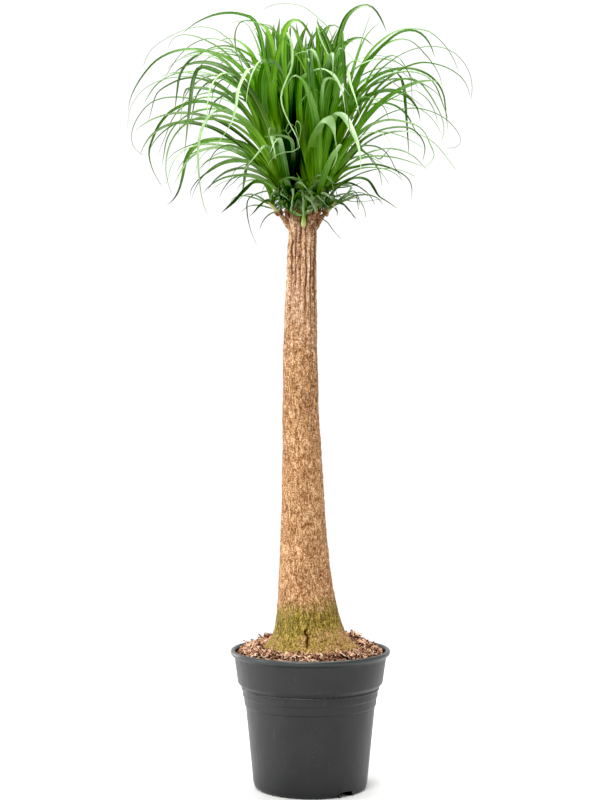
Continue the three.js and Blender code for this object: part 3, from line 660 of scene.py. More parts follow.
def bark_relief(turn, z):
    """Millimetres to add to the stem's radius, how cracked it is, and the tone of its plates."""
    upper = smoothstep(z, *BARK.furrow_zone)
    middle = (1 - upper) * smoothstep(z, *BARK.foot_zone)
    lower = 1 - smoothstep(z, *BARK.foot_zone)
    wander = 0.012 * layered_noise(turn, z, 7, 90, 21) + 0.006 * ring_noise(turn, z, 26, 20, 27)
    turned = turn + wander
    phase = TURN * BARK.furrows * turned + rib_wave(z)
    strength = np.clip(0.85 + 0.6 * ring_noise(turn, z, 17, 70, 31), 0.1, 1.2)
    furrow = upper * strength * ((1 - np.cos(phase)) / 2) ** 4
    side_phase = 2 * phase + 2.6 * ring_noise(turn, z, 9, 40, 35)
    side_furrow = upper * ((1 - np.cos(side_phase)) / 2) ** 5
    side_furrow *= smoothstep(ring_noise(turn, z, 14, 34, 37), -0.5, 0.3)
    # Short level cracks cut the ribs into plates. Lower down the cracks run every way.
    ladder = lerp(1, smoothstep(ring_noise(turn, z, 15, 55, 47), -0.2, 0.4), upper)
    level = crackle(turned, z, 22, 5.5, 39, 0.3) * (0.35 + 0.5 * smoothstep(z, 500, 860)) * ladder
    mesh = crackle(turned, z, 44, 9, 41, 0.3) * (0.4 + 0.6 * middle) * (1 - 0.4 * upper)
    fine = crackle(turned, z, 84, 5, 43, 0.34)
    streak = crackle(turn, z, 78, 30, 45, 0.2) * (0.45 + 0.55 * lower)
    worn = 0.5 + 0.5 * smoothstep(layered_noise(turn, z, 12, 26, 53), -0.8, 0.5)
    grain = ring_noise(turn, z, 92, 5, 55) + 0.6 * ring_noise(turn, z, 90, 15, 56)
    bump = ring_noise(turned, z, 40, 8, 59)
    split = BARK.split
    aside = (turn - (split["angle"] / 360) % 1) * TURN * stem_radius(z)
    aside = aside + 2.4 * ring_noise(turn * 0, z, 1, 11, 61) + 2.2 * ring_noise(turn, z, 60, 3, 63)
    reach = (z - split["middle"]) / split["half_height"]
    open_to = split["half_width"] * np.clip(1 - reach**2, 0, 1) ** 0.6
    cleft = np.clip(1.4 - np.abs(aside) / np.maximum(open_to, 0.01), 0, 1) * (open_to > 0.1)
    height = (
        -BARK.furrow_depth * (furrow + 0.5 * side_furrow)
        - BARK.plate_depth * np.maximum(level, worn * mesh)
        - BARK.fine_depth * worn * np.maximum(fine, streak)
        + BARK.grain_depth * grain
        + BARK.swell * layered_noise(turn, z, 6, 60, 57, 2)
        + 0.5 * bump
        - split["depth"] * cleft
    )
    cracks = [(furrow, 1), (side_furrow, 0.6), (level, 0.6), (cleft, 1)]
    cracks += [(worn * crack, 0.42) for crack in (mesh, fine, streak)]
    open_share = np.prod([1 - weight * np.clip(crack, 0, 1) for crack, weight in cracks], axis=0)
    tone = 0.5 + 0.22 * bump + 0.2 * grain + 0.2 * layered_noise(turned, z, 24, 12, 65)
    return height, 1 - open_share, np.clip(tone, 0, 1)


def stem_shape():
    """The bark's skin from the soil to the top, and the root crown below."""
    sides = BARK.sides
    turn = np.arange(sides) / sides
    angle = TURN * turn
    heights = np.linspace(STEM.soil, STEM.top, BARK.rows)
    z, turns = heights[:, None], np.broadcast_to(turn, (len(heights), sides))
    depth = lerp(*RIBS.depths, smoothstep(z, *RIBS.between))
    rib = depth * np.cos(RIBS.count * angle + rib_wave(z))
    relief, crack, tone = bark_relief(turns, np.broadcast_to(z, turns.shape))
    radius = lobed_radius(z, angle) + rib + relief * smoothstep(z, STEM.soil - 1, STEM.soil + 6)
    below = (STEM.soil - np.array(STEM.root_crown, float)[:, None]) / STEM.crown_depth
    deep = np.array(STEM.root_crown, float)[:, None] + 0 * angle
    crown = lobed_radius(deep, angle) * np.sqrt(np.clip(1 - below**2, 0.02, 1))
    cap_shares, cap_rises = np.array(STEM.cap).T[..., None]
    cap, cap_heights = radius[-1] * cap_shares, STEM.top + cap_rises + 0 * angle
    all_radii = np.concatenate([crown, radius, cap])
    all_heights = np.concatenate([deep, np.broadcast_to(z, turns.shape), cap_heights])
    still = np.zeros((len(crown), sides))
    top = np.ones((3, sides))
    x, y = stem_axis(all_heights) + all_radii * np.cos(angle), all_radii * np.sin(angle)
    return skinned(
        np.stack([x, y, all_heights], -1),
        bark_crack=np.concatenate([still, crack, 0.7 * top]),
        bark_tone=np.concatenate([still + 0.5, tone, 0.5 * top]),
    )


def root_shapes():
    """The main roots, from the root crown out into the soil."""
    drop = math.radians(ROOTS.slope)
    made = []
    for i in range(ROOTS.count):
        angle = TURN * (i + ROOTS.phase) / ROOTS.count
        out = np.array([math.cos(angle), math.sin(angle), 0])
        way = out * math.cos(drop) - np.array([0, 0, math.sin(drop)])
        start = out * ROOTS.start[0] + np.array([0, 0, ROOTS.start[1]])
        share = np.linspace(0, 1, ROOT_STEPS)[:, None]
        path = start + way * ROOTS.length * share
        radii = lerp(*ROOTS.radii, share)
        made.append(tube(path, radii, ROOT_SIDES, bark_crack=0.2, bark_tone=0.4))
    return made


def beside_stem(point):
    return np.array([STEM_END + point[0], point[1], point[2]], float)


def head_aim(one):
    return unit(one["aim"])


def collar_line(one):
    """Start, knee and end of the branch that carries a head."""
    start = beside_stem(one["collar"][0])
    end = beside_stem(one["foot"]) - head_aim(one) * GAP
    knee = end - head_aim(one) * BRANCH.knee * np.linalg.norm(end - start)
    return start, knee, end


def collar_shapes():
    """The short branches that carry the heads. The side ones show as thin stubs."""
    made = []
    sides, steps = BRANCH.sides, BRANCH.steps
    turn = np.arange(sides) / sides
    share = np.linspace(0, 1, steps)[:, None]
    for number, one in enumerate(HEADS):
        start, knee, end = collar_line(one)
        foot_radius = BRANCH.foot * one["collar"][1]
        # The branches are a darker, redder brown than the stem, the more so towards the leaves.
        brown = BRANCH.brown * smoothstep(share, *BRANCH.brown_from)
        if one["name"].startswith("side"):
            knee = lerp(lerp(start, end, STUB.knee[0]), knee, STUB.knee[1])
            start = lerp(start, end, STUB.start) + (0, 0, STUB.up)
            foot_radius = STUB.radius + STUB.foot * smoothstep(share, *STUB.foot_ends)
            brown = STUB.brown
        if one["place"] == "front":
            foot_radius = BRANCH.front_foot
        curve = bend(start, knee, end, share)
        widening = smoothstep(share, *BRANCH.widens)
        radius = lerp(foot_radius, one["core"][0] * heart_share(one), widening)
        turns = np.broadcast_to(turn, (steps, sides))
        along = np.broadcast_to(share * np.linalg.norm(end - start), turns.shape)
        crack = np.maximum(
            crackle(turns, along, 9, 26, 71 + number, 0.3), 0.7 * crackle(turns, along, 12, 5, 75, 0.3)
        )
        tone = 0.5 + 0.3 * layered_noise(turns, along, 7, 12, 81 + number)
        bumpy = radius + BRANCH.bumps * (tone - 0.5) - BRANCH.cracks * crack
        dark = np.maximum(0.8 * crack, brown)
        made.append(tube(curve, bumpy, sides, bark_crack=dark, bark_tone=tone))
    return made


COLLAR_LINES = [collar_line(one) for one in HEADS]
COLLAR_LIMITS = [max(one["collar"][1], one["core"][0]) + CLEAR.collar for one in HEADS]


def distance_to_line(points, start, end):
    along = end - start
    share = np.clip((points - start) @ along / (along @ along), 0, 1)
    return lengths(points - start - share[:, None] * along)


def clear_of_stem(points):
    x, y, z = points.T
    aside = np.hypot(x - stem_axis(z), y)
    clear = ~((z < STEM.top + CLEAR.top) & (aside < stem_radius(z) + CLEAR.stem))
    for one, (start, knee, end), limit in zip(HEADS, COLLAR_LINES, COLLAR_LIMITS):
        above = (points - end) @ head_aim(one) > CLEAR.foot
        off_start = distance_to_line(points, start, knee) > limit
        clear &= above | (off_start & (distance_to_line(points, knee, end) > limit))
    return clear


def in_bubble(points, name, share):
    middle, size = BUBBLES[name]
    return lengths((points - np.array(middle)) / np.array(size)) < share


def in_own_place(one, points):
    """Where a solid's leaf may be: in its head's own sector or bubble, clear of the stem."""
    if is_shoot(one):
        return in_bubble(points, one["place"], BUBBLE_INSIDE) & clear_of_stem(points)
    aside_x, y = points[:, 0] - STEM_END, points[:, 1]
    start, end = (math.radians(angle) for angle in one["place"])
    fits = y * math.cos(start) - aside_x * math.sin(start) >= CROWN.margin
    fits &= aside_x * math.sin(end) - y * math.cos(end) >= CROWN.margin
    fits &= in_crown(points)
    for name in BUBBLES:
        fits &= ~in_bubble(points, name, BUBBLE_OUTSIDE)
    return fits & clear_of_stem(points)


def in_crown(points):
    aside = np.hypot(points[:, 0] - STEM_END, points[:, 1])
    return (aside <= CROWN.reach) & (points[:, 2] >= CROWN.hem + CROWN.hem_slope * aside)


def in_open_crown(one, points, above_hem=LIMP.above_hem):
    """Where a limp leaf may be: anywhere in the crown and the picture, clear of the stem."""
    clear = clear_of_stem(points)
    if is_shoot(one):
        return in_bubble(points, one["place"], BUBBLE_LIMP) & clear
    aside = np.hypot(points[:, 0] - STEM_END, points[:, 1])
    lift = lerp(*above_hem, smoothstep(aside, *CROWN.hem_lift))
    hem = CROWN.hem + CROWN.hem_slope * aside + lift
    away = 1 - points[:, 1] / PHOTO.camera[1]
    seen_up = PHOTO.camera[2] + (PHOTO.middle[1] - PHOTO.top) * PHOTO.scale * away
    middle, rise, spread = CROWN.dome
    dome = middle + rise * np.sqrt(np.clip(1 - (aside / spread) ** 2, 0, 1))
    fits = (aside <= CROWN.reach) & (points[:, 2] >= hem) & (points[:, 2] <= seen_up)
    fits &= lengths((points - CLEFT.middle) / CLEFT.size) > 1
    return fits & (points[:, 2] <= dome) & clear


def is_shoot(one):
    """Whether this is a shoot, which keeps to a bubble, and not a big head with its sector."""
    return isinstance(one["place"], str)


def outward_of(one):
    return math.atan2(one["aim"][1], one["aim"][0])


def draw_leaf(one, age, index, random):
    """One draw of a leaf's shape. Age runs from 0, the oldest leaf, to 1, the youngest."""

    def within(pair):
        return lerp(*pair, random())

    def about(width):
        return width * (random() - 0.5)

    outward = outward_of(one)
    spiral = index * GOLDEN_ANGLE + about(SPREAD.spiral) - outward
    away = math.atan2(math.sin(spiral), math.cos(spiral))
    prime = math.sin(math.pi * lerp(*LEAF.prime, age))
    launch = lerp(*one["launch"], age ** LEAF.steepening) + about(SPREAD.launch)
    return {
        "age": age,
        "side": outward + SPREAD.side_share * away,
        "heading": outward + SPREAD.heading_share * away + about(SPREAD.heading),
        "drift": about(SPREAD.drift),
        "launch": math.radians(max(launch, SPREAD.steepest)),
        "tip": math.radians(lerp(*LEAF.tips, age ** LEAF.tipping) + about(SPREAD.tip)),
        "power": lerp(*LEAF.stiffness, age ** LEAF.stiffening) * within(SPREAD.stiffness),
        "twist": math.radians(about(SPREAD.twist)),
        "length": one["longest"] * lerp(LEAF.least_length, 1, prime) * within(SPREAD.length),
        "width": one["widest"] * lerp(LEAF.least_width, 1, prime) * within(SPREAD.width),
    }


def core_radius(one, height):
    shares, swells = zip(*CORE_SWELL)
    return one["core"][0] * np.interp(height, shares, swells)


def heart_share(one):
    return HEART["shoot" if is_shoot(one) else "head"]


def ways_across(forward, facing):
    """Ways across a leaf: level, or turned by a share towards the front as it shows its face."""
    level = np.cross(forward, (0, 0, 1))
    turned = np.cross(forward, (0, 1, 0))
    ways = [unit(facing * turned[0] + (1 - facing) * level[0])]
    for one, other in zip(level[1:], turned[1:]):
        one = one * (1 if one @ ways[-1] >= 0 else -1)
        other = other * (1 if other @ ways[-1] >= 0 else -1)
        ways.append(unit(LEAF.steady * ways[-1] + facing * other + (1 - facing) * one))
    ways = np.array(ways)
    return units(ways - forward * (ways * forward).sum(1)[:, None])


def leaf_form(points, forward, across, turned, width, taper, **more):
    """A leaf's points, ways across and up, turned by an angle at each point, and widths."""
    s = np.arange(LEAF.steps + 1) / LEAF.steps
    face = np.cross(forward, across)
    cos, sin = np.cos(turned)[:, None], np.sin(turned)[:, None]
    root = lerp(LEAF.root_width, 1, smoothstep(s, 0, LEAF.root_length))
    return {
        "points": points,
        "across": across * cos + face * sin,
        "face": face * cos - across * sin,
        "widths": width * root * (1 - s**taper),
        **more,
    }


def leaf_stations(one, leaf, limp=None):
    """A leaf from inside its core to its tip."""
    aim = head_aim(one)
    out = unit(np.cross((-math.sin(leaf["side"]), math.cos(leaf["side"]), 0), aim))
    height = lerp(*LEAF.heights, leaf["age"])
    start = beside_stem(one["foot"]) + aim * height * one["core"][1]
    start = start + out * max(core_radius(one, height) - LEAF.root_depth, 0)
    s = np.arange(LEAF.steps + 1) / LEAF.steps
    lean = lerp(leaf["launch"], leaf["tip"], s ** leaf["power"])
    heading = leaf["heading"] + leaf["drift"] * s * s
    if limp:
        bent = lerp(leaf["launch"], limp["tip"], np.minimum(s * limp["hangs_from"], 1) ** leaf["power"])
        kink = smoothstep(s, limp["kink_at"], limp["kink_at"] + LIMP.kink_length)
        lean = np.minimum(bent + limp["kink"] * kink, max(limp["tip"], math.radians(LEAF.tips[0])))
        heading = heading + limp["curl"] * smoothstep(s, LIMP.curls_from, 1)
    forward = np.stack(
        [np.sin(lean) * np.cos(heading), np.sin(lean) * np.sin(heading), np.cos(lean)], -1
    )
    level = np.stack([-np.sin(heading), np.cos(heading), 0 * s], -1)
    if limp:
        level = ways_across(forward, limp["facing"])
    steps = forward * leaf["length"] / LEAF.steps
    points = start + np.concatenate([np.zeros((1, 3)), np.cumsum(steps[:-1], 0)])
    taper = LIMP.taper if limp else LEAF.taper
    turned = leaf["twist"] * s
    return leaf_form(points, forward, level, turned, leaf["width"], taper, age=leaf["age"], leaf=leaf)


def made_limp(one, leaf, random, place=in_open_crown, curl=LIMP.curl):
    """The same leaf as it hangs on the plant: limp, some with a kink, all within the crown."""
    leaf = dict(leaf, width=leaf["width"] * LIMP.slimmer)
    limp = {
        "tip": math.radians(lerp(*LIMP.tip, random())),
        "hangs_from": lerp(*LIMP.hangs_from, random()),
        "kink": math.radians(lerp(*LIMP.kink, random())) * (random() < LIMP.kinked),
        "kink_at": lerp(*LIMP.kink_at, random()),
        "curl": curl * (random() - 0.5),
        "facing": lerp(*LIMP.facing, random()),
    }
    for _ in range(LIMP.tries):
        stations = leaf_stations(one, leaf, limp)
        if stays_in_place(one, stations, place):
            return stations
        leaf["length"] *= LIMP.shorter
    return None


def in_skirt(one, points):
    """Where a short leaf round a head's foot may be: the crown's foot is wedge-shaped."""
    aside = np.abs(points[:, 0] - STEM_END)
    wedge = points[:, 2] >= SKIRT.wedge[0] + SKIRT.wedge[1] * aside
    return in_open_crown(one, points, SKIRT.above_hem) & wedge


def stays_in_place(one, stations, place):
    """Whether a leaf's edges and middle are in place from where it leaves its core."""
    free = slice(PLACING.shoot_free_from if is_shoot(one) else PLACING.head_free_from, None)
    points, across = stations["points"][free], stations["across"][free]
    widths = stations["widths"][free, None]
    edges = np.concatenate([points + across * widths * side for side in (-0.5, 0, 0.5)])
    return bool(place(one, edges).all())


def crowding(stations, others):
    """How often a leaf comes in the way of the leaves that are already there."""
    if not others:
        return 0
    start = PLACING.crowd_from
    own = slice(start, LEAF.steps, 2)
    points, widths = stations["points"][own], stations["widths"][own]
    there = np.stack([o["points"][start:] for o in others])
    there_widths = np.stack([o["widths"][start:] for o in others])
    away = np.linalg.norm(points[:, None, None] - there[None], axis=-1)
    both = widths[:, None, None] + there_widths[None]
    limit = PLACING.crowd_share * both + PLACING.crowd_gap
    return int((away < limit).any(-1).sum())


def place_leaf(one, age, index, random, others):
    """Draws a leaf until it keeps to its place, and takes the least crowded of a few."""
    best, least, found = None, None, 0
    for draw in range(PLACING.draws):
        if found >= PLACING.choices:
            break
        leaf = draw_leaf(one, age, index, random)
        share = draw / PLACING.draws
        leaf["heading"] = lerp(leaf["heading"], outward_of(one), share)
        leaf["side"] = lerp(leaf["side"], outward_of(one), share)
        leaf["length"] *= 1 - PLACING.shortening * share
        stations = leaf_stations(one, leaf)
        if not stays_in_place(one, stations, in_own_place):
            continue
        found += 1
        crowd = crowding(stations, others)
        if least is None or crowd < least:
            best, least = stations, crowd
        if crowd == 0:
            break
    return best


def place_extra(one, age, index, random):
    """A leaf that is only here: it may cross its neighbours, as real ones do."""
    for draw in range(PLACING.draws):
        leaf = draw_leaf(one, age, index, random)
        share = draw / PLACING.draws
        leaf["heading"] = lerp(leaf["side"], outward_of(one), EXTRA.outward * share)
        leaf["width"] *= lerp(*EXTRA.width, random())
        leaf["length"] *= lerp(*EXTRA.length, random()) * (1 - PLACING.shortening * share)
        stations = made_limp(one, leaf, random)
        if stations:
            return stations
    return None


def place_skirt(one, index, count, random):
    """A short leaf at the foot of a head, that curls over."""
    for draw in range(PLACING.draws):
        leaf = draw_leaf(one, lerp(*SKIRT.ages, (index + 0.5) / count), index, random)
        leaf["width"] *= lerp(*SKIRT.width, random())
        leaf["power"] *= SKIRT.droop
        shorter = 1 - SKIRT.shortening * draw / PLACING.draws
        leaf["length"] *= lerp(*SKIRT.length, random()) * shorter
        stations = made_limp(one, leaf, random, in_skirt, SKIRT.curl)
        if stations:
            most, lack = SKIRT.bloom
            return dict(stations, bloom=max(0, most * random() - lack))
    return None


def smooth_path(knots, count):
    """Evenly spaced points on a smooth curve through these knots."""
    knots = np.array([2 * knots[0] - knots[1], *knots, 2 * knots[-1] - knots[-2]])
    dense = []
    for a, b, c, d in zip(knots[:-3], knots[1:-2], knots[2:-1], knots[3:]):
        square = 2 * a - 5 * b + 4 * c - d
        cube = 3 * b - a - 3 * c + d
        for t in np.linspace(0, 1, PATH_STEPS, endpoint=False):
            dense.append(0.5 * (2 * b + (c - a) * t + square * t**2 + cube * t**3))
    dense = np.array(dense + [knots[-2]])
    gone = gone_along(dense)
    even = np.linspace(0, gone[-1], count)
    return np.stack([np.interp(even, gone, dense[:, axis]) for axis in range(3)], -1)


def seen_leaf(one, width, depth, twist, bloom, *places):
    """A leaf through places in the photograph. Its depth grows from its head to its end."""
    start = beside_stem(one["foot"]) + head_aim(one) * one["core"][1] * SEEN.root
    camera = np.array(PHOTO.camera, float)
    flat = np.array(places, float).reshape(-1, 2)
    runs = gone_along(flat)
    first, rest, last = SEEN.depth
    back = lerp(start[1], depth, smoothstep(first + rest * runs / runs[-1], 0, last))
    scale = PHOTO.scale * (1 - back / camera[1])
    x = camera[0] + (flat[:, 0] - PHOTO.middle[0]) * scale
    z = camera[2] - (flat[:, 1] - PHOTO.middle[1]) * scale
    return leaf_through([start, *np.stack([x, back, z], -1)], SEEN.facing, width, twist, bloom)


def inner_leaf(one, width, lean, height):
    """An upright leaf between the front heads and the back ones, with its edge to the front."""
    start = beside_stem(one["foot"]) + head_aim(one) * one["core"][1] * INNER.root
    aside, back, up = INNER.bend
    middle = start + (aside * lean, -back * start[1], up * height)
    end = start + (lean, -start[1], height)
    return leaf_through([start, middle, end], 0, width, 0, 0)


def leaf_through(knots, facing, width, twist, bloom):
    """A leaf along a smooth path through these knots."""
    points = smooth_path(knots, LEAF.steps + 1)
    forward = directions(points)
    across = ways_across(forward, facing)
    s = np.arange(LEAF.steps + 1) / LEAF.steps
    turned = np.radians(twist) * s * s
    broad = ENDS["broad" if bloom < SEEN.pale else "pale"]
    taper = lerp(ENDS["narrow"], broad, smoothstep(width, *ENDS["widths"]))
    tone = SEEN.pale_tone if bloom > SEEN.pale else None
    return leaf_form(
        points, forward, across, turned, width, taper, age=SEEN.age, bloom=bloom, tone=tone
    )


def reaches_aside(one, stations):
    """Whether a leaf ends far to the side, where the photograph shows the leaves one by one."""
    x, _, z = stations["points"][-1]
    return is_shoot(one) or (abs(x - STEM_END) > ASIDE.reach and z > ASIDE.low)


def head_leaves(one, more):
    """The leaves of a head: those of its solid, by the same rule, and more between them."""
    random = random_stream(one["seed"])
    solids = []
    for i in range(one["leaves"]):
        stations = place_leaf(one, (i + 0.5) / one["leaves"], i, random, solids)
        if stations:
            solids.append(stations)
    random = random_stream(one["seed"] + EXTRA.seed)
    leaves = []
    for stations in solids:
        stations = made_limp(one, stations["leaf"], random)
        kept = random() < THINNED.get(one["name"], 1)
        if stations and (kept or not reaches_aside(one, stations)):
            leaves.append(stations)
    seen = [seen_leaf(one, *numbers) for numbers in SEEN_LEAVES.get(one["name"], ())]
    # The back heads' seen leaves are given a darker tone: painted shade from the front heads.
    if "back" in one["name"]:
        seen = [dict(stations, tone=SEEN.shaded_tone * random()) for stations in seen]
    count = round(one["extra"] * more)
    extra = [place_extra(one, (i + 0.5) / count, i, random) for i in range(count)]
    random = random_stream(one["seed"] + SKIRT.seed)
    count = round(one["skirt"] * more)
    skirt = [place_skirt(one, i, count, random) for i in range(count)]
    inner = [inner_leaf(one, *numbers) for numbers in INNER_LEAVES.get(one["name"], ())]
    return leaves + seen + [stations for stations in extra + skirt if stations] + inner


# A blade's section: places across it, from -1 at one edge to 1 at the other, over the top and
# back underneath, and whether each is on the underside.
SECTION = SimpleNamespace(
    across=np.array([-1, -0.55, 0, 0.55, 1, 0.55, 0, -0.55]),
    under=np.array([0.4, 0, 0, 0, 0.4, 1, 1, 1]), thickness=(0.42, 0.022), rise=(1.15, 1.5, 0.7),
    flattens=0.45, ripple=0.05, ripple_from=(0.05, 0.3), narrowest=(0.5, 0.6),
)
# What a blade's finish is drawn from: how dry its tip is and how often, its wax, the light that
# lies on it and the shade that it hangs in. Light and shade are painted into its colour, as a
# painted sheen, partly mixed with the wax, and as painted shade.
FINISH = SimpleNamespace(
    dry=(0.8, 0.12), wax_and_sheen=(0.9, 1.4), wax_and_sheen_ages=(0.75, 0.25), wax_and_sheen_from=(-0.5, 0.2),
    sheen=(0.7, 1.3, 0.1, 0.14), hanging=(0.2, 0.85), hanging_shade=0.6, nook=(1.3, 0.6),
    nook_shade=0.95, foot_shade=0.4, most_shade=0.95,
)


def blade_shape(stations, random):
    """A thin closed blade, channelled above, with a rippled edge and a fine tip."""
    points, widths = stations["points"], stations["widths"]
    count = len(points) - 1
    s = (np.arange(count) / count)[:, None]
    u = SECTION.across
    wide = widths[:count, None]
    least, finer = SECTION.narrowest
    half = np.maximum(0.5 * wide, least * (1 - finer * s))
    keel = LEAF.keel + LEAF.channel * wide
    edge, power, sunk = SECTION.rise
    rise = keel * (edge * np.abs(u) ** power - sunk) * (1 - SECTION.flattens * s)
    ripple = SECTION.ripple * wide * np.abs(u) * np.sin(
        TURN * s * (3 + 3 * random()) + TURN * random() + 2.2 * u
    )
    thick = SECTION.thickness[0] + SECTION.thickness[1] * wide
    lift = rise + ripple * smoothstep(s, *SECTION.ripple_from) - thick * (SECTION.under == 1)
    across, face = stations["across"][:count, None], stations["face"][:count, None]
    rings = points[:count, None] + across * (half * u)[..., None] + face * lift[..., None]
    tone = random() if stations.get("tone") is None else stations["tone"]
    dry = FINISH.dry[0] if random() < FINISH.dry[1] else 0.0
    most, power = FINISH.wax_and_sheen
    young = smoothstep(stations["age"], *FINISH.wax_and_sheen_ages)
    bloom = stations.get("bloom", most * random() ** power * young)
    down = -directions(points)[:count, 2:]
    # Painted highlight: light from above is painted as a pale sheen where a leaf arches over. Past the
    # arch it hangs in its own shade, painted darker, unless its bloom makes it pale, which is partly wax
    # and partly painted sheen.
    most, power, rise_at, spread = FINISH.sheen
    sheen = most * random() ** power * np.exp(-((down + rise_at) ** 2) / spread)
    hanging = smoothstep(down, *FINISH.hanging)
    # Painted shade: leaves are darker in the nook between the heads, at the heads' feet and where they hang.
    nook = lengths((points[:count] - NOOK.middle) / NOOK.size)[:, None]
    low = smoothstep(points[:count, 2:], *NOOK.foot)
    shade = FINISH.nook_shade * smoothstep(nook, *FINISH.nook) + FINISH.foot_shade * low
    shade = shade + FINISH.hanging_shade * hanging * (1 - bloom)
    return skinned(
        rings,
        tip=points[-1],
        leaf_across=half * u,
        leaf_along=s + 0 * u,
        leaf_under=SECTION.under + 0 * s,
        leaf_tone=tone,
        leaf_age=1 - stations["age"],
        leaf_dry=dry,
        leaf_bloom=np.clip(bloom * smoothstep(down, *FINISH.wax_and_sheen_from) + sheen, 0, 1) + 0 * u,
        leaf_shade=np.clip(shade, 0, FINISH.most_shade) + 0 * u,
    )


def core_shape(one):
    """The heart that the leaves clasp. The front shoot's is the pale bulb at its foot."""
    aim = head_aim(one)
    foot = beside_stem(one["foot"])
    shares = np.linspace(0, 1, HEART["steps"])[:, None]
    radii = core_radius(one, shares) * heart_share(one)
    path = foot + aim * shares * one["core"][1]
    marks = {"leaf_along": 0.0, "leaf_under": 1.0, "leaf_shade": HEART["shade"]}
    if one["place"] == "front":
        low = lerp(collar_line(one)[0], foot, BULB.start) - BULB.forward[0]
        path = lerp(low, foot + aim * BULB.end - BULB.forward[1], shares)
        swell = np.sin(math.pi * shares ** BULB.fullest) ** BULB.round
        radii = BULB.least + BULB.swell * swell + BULB.top * shares
        marks = {"leaf_along": shares**2 * BULB.green, "leaf_under": 0.0, "leaf_shade": 0.0}
    marks |= {"leaf_across": 0.0, "leaf_tone": 0.5, "leaf_bloom": 0.0}
    return tube(path, radii, HEART["sides"], leaf_age=0.5, leaf_dry=0.0, **marks)


def fillet(points):
    """A closed outline's points with each corner rounded by its own radius."""
    made = []
    for before, (x, y, size), after in zip(points[:-2], points[1:-1], points[2:]):
        here = np.array([x, y], float)
        back, on = np.array(before[:2]) - here, np.array(after[:2]) - here
        start, end = (
            here + unit(way) * min(size, CORNER.most * np.linalg.norm(way)) for way in (back, on)
        )
        made += [bend(start, here, end, share) for share in np.linspace(0, 1, CORNER.steps)]
    return made


def block(angle, start, end, width, low, high):
    """A box that lies along a radius of the pot."""
    x = np.array([start, end, end, start] * 2, float)
    y = np.array([-1, -1, 1, 1] * 2) * width / 2
    z = np.repeat([low, high], 4)
    cos, sin = math.cos(math.radians(angle)), math.sin(math.radians(angle))
    points = np.stack([x * cos - y * sin, x * sin + y * cos, z], -1)
    quads = [[3, 2, 1, 0], [4, 5, 6, 7], [0, 1, 5, 4], [1, 2, 6, 5], [2, 3, 7, 6], [3, 0, 4, 7]]
    return shape(points, quads)


def drain_roofs(low, gap):
    """The roofs over the drain channels, or the room that they take up in the soil."""
    roof = DRAIN.roof
    start, end = DRAIN.ends[0] - roof - gap, DRAIN.roof_end + DRAIN.room * gap
    width, top = DRAIN.width + 2 * (roof + gap), DRAIN.height + roof + gap
    return merged([block(angle, start, end, width, low, top) for angle in DRAIN.angles])


def carve(context, piece, *steps):
    """Joins or cuts a piece with other closed meshes, which are used up."""
    for tool, operation in steps:
        step = piece.modifiers.new(tool.name, "BOOLEAN")
        step.object = tool
        step.operation = operation
        step.solver = "EXACT"
        step.use_self = True
    context.view_layer.update()
    made = piece.evaluated_get(context.evaluated_depsgraph_get())
    plain = piece.data
    piece.data = bpy.data.meshes.new_from_object(made)
    piece.modifiers.clear()
    for tool, _ in steps:
        bpy.data.objects.remove(tool)
    bpy.data.meshes.remove(plain)


def spot(out, degrees):
    """A place inside the pot, from its distance to the axis and its bearing."""
    return out * math.cos(math.radians(degrees)), out * math.sin(math.radians(degrees))


def bell(x, y, middle_x, middle_y, size):
    """1 at the middle of a round heap or hollow, fading to 0 round it."""
    return np.exp(-((x - middle_x) ** 2 + (y - middle_y) ** 2) / size**2)


def fill_radius(z):
    """The radius of what fills the pot, at a height in its collar."""
    (rim, rim_z), (foot, foot_z) = POT_WALL["rim"], POT_WALL["foot"]
    return lerp(foot, rim, (z - foot_z) / (rim_z - foot_z)) - GAP


def mulch_height(x, y):
    """The height of the mulch: level, lower along the wall, with two heaps and a hollow."""
    radius = np.hypot(x, y)
    wall = fill_radius(MULCH.edge)
    drop = smoothstep(radius, wall - MULCH.edge_width, wall)
    height = lerp(MULCH.level, MULCH.edge, drop)
    for angle, out, rise, spread in MULCH.heaps:
        height = height + rise * bell(x, y, *spot(out, angle), spread)
    *hollow, depth = MULCH.hollow
    return height - depth * bell(x, y, *hollow)


def bed_shape():
    """The fine bark under the chips, from the stem to the wall of the pot."""
    sides = MULCH.sides
    angle = TURN * np.arange(sides) / sides
    wall = fill_radius(MULCH.edge)
    above, inside = MULCH.round_stem
    inner = lobed_radius(STEM.soil + above, angle) - inside
    rings = [circle(MULCH.inner, MULCH.floor, sides)]
    rings.append(circle(fill_radius(MULCH.floor), MULCH.floor, sides))
    turn = angle / TURN
    for share in np.linspace(1, 0, MULCH.rings):
        radius = lerp(inner, wall, share)
        x, y = radius * np.cos(angle), radius * np.sin(angle)
        rough = MULCH.rough * layered_noise(turn, radius, 64, 9, 91)
        rings.append(np.stack([x, y, mulch_height(x, y) - MULCH.under_chips + rough], -1))
    return looped(rings, chip_tone=0.0, chip_x=0.0, chip_y=0.0)


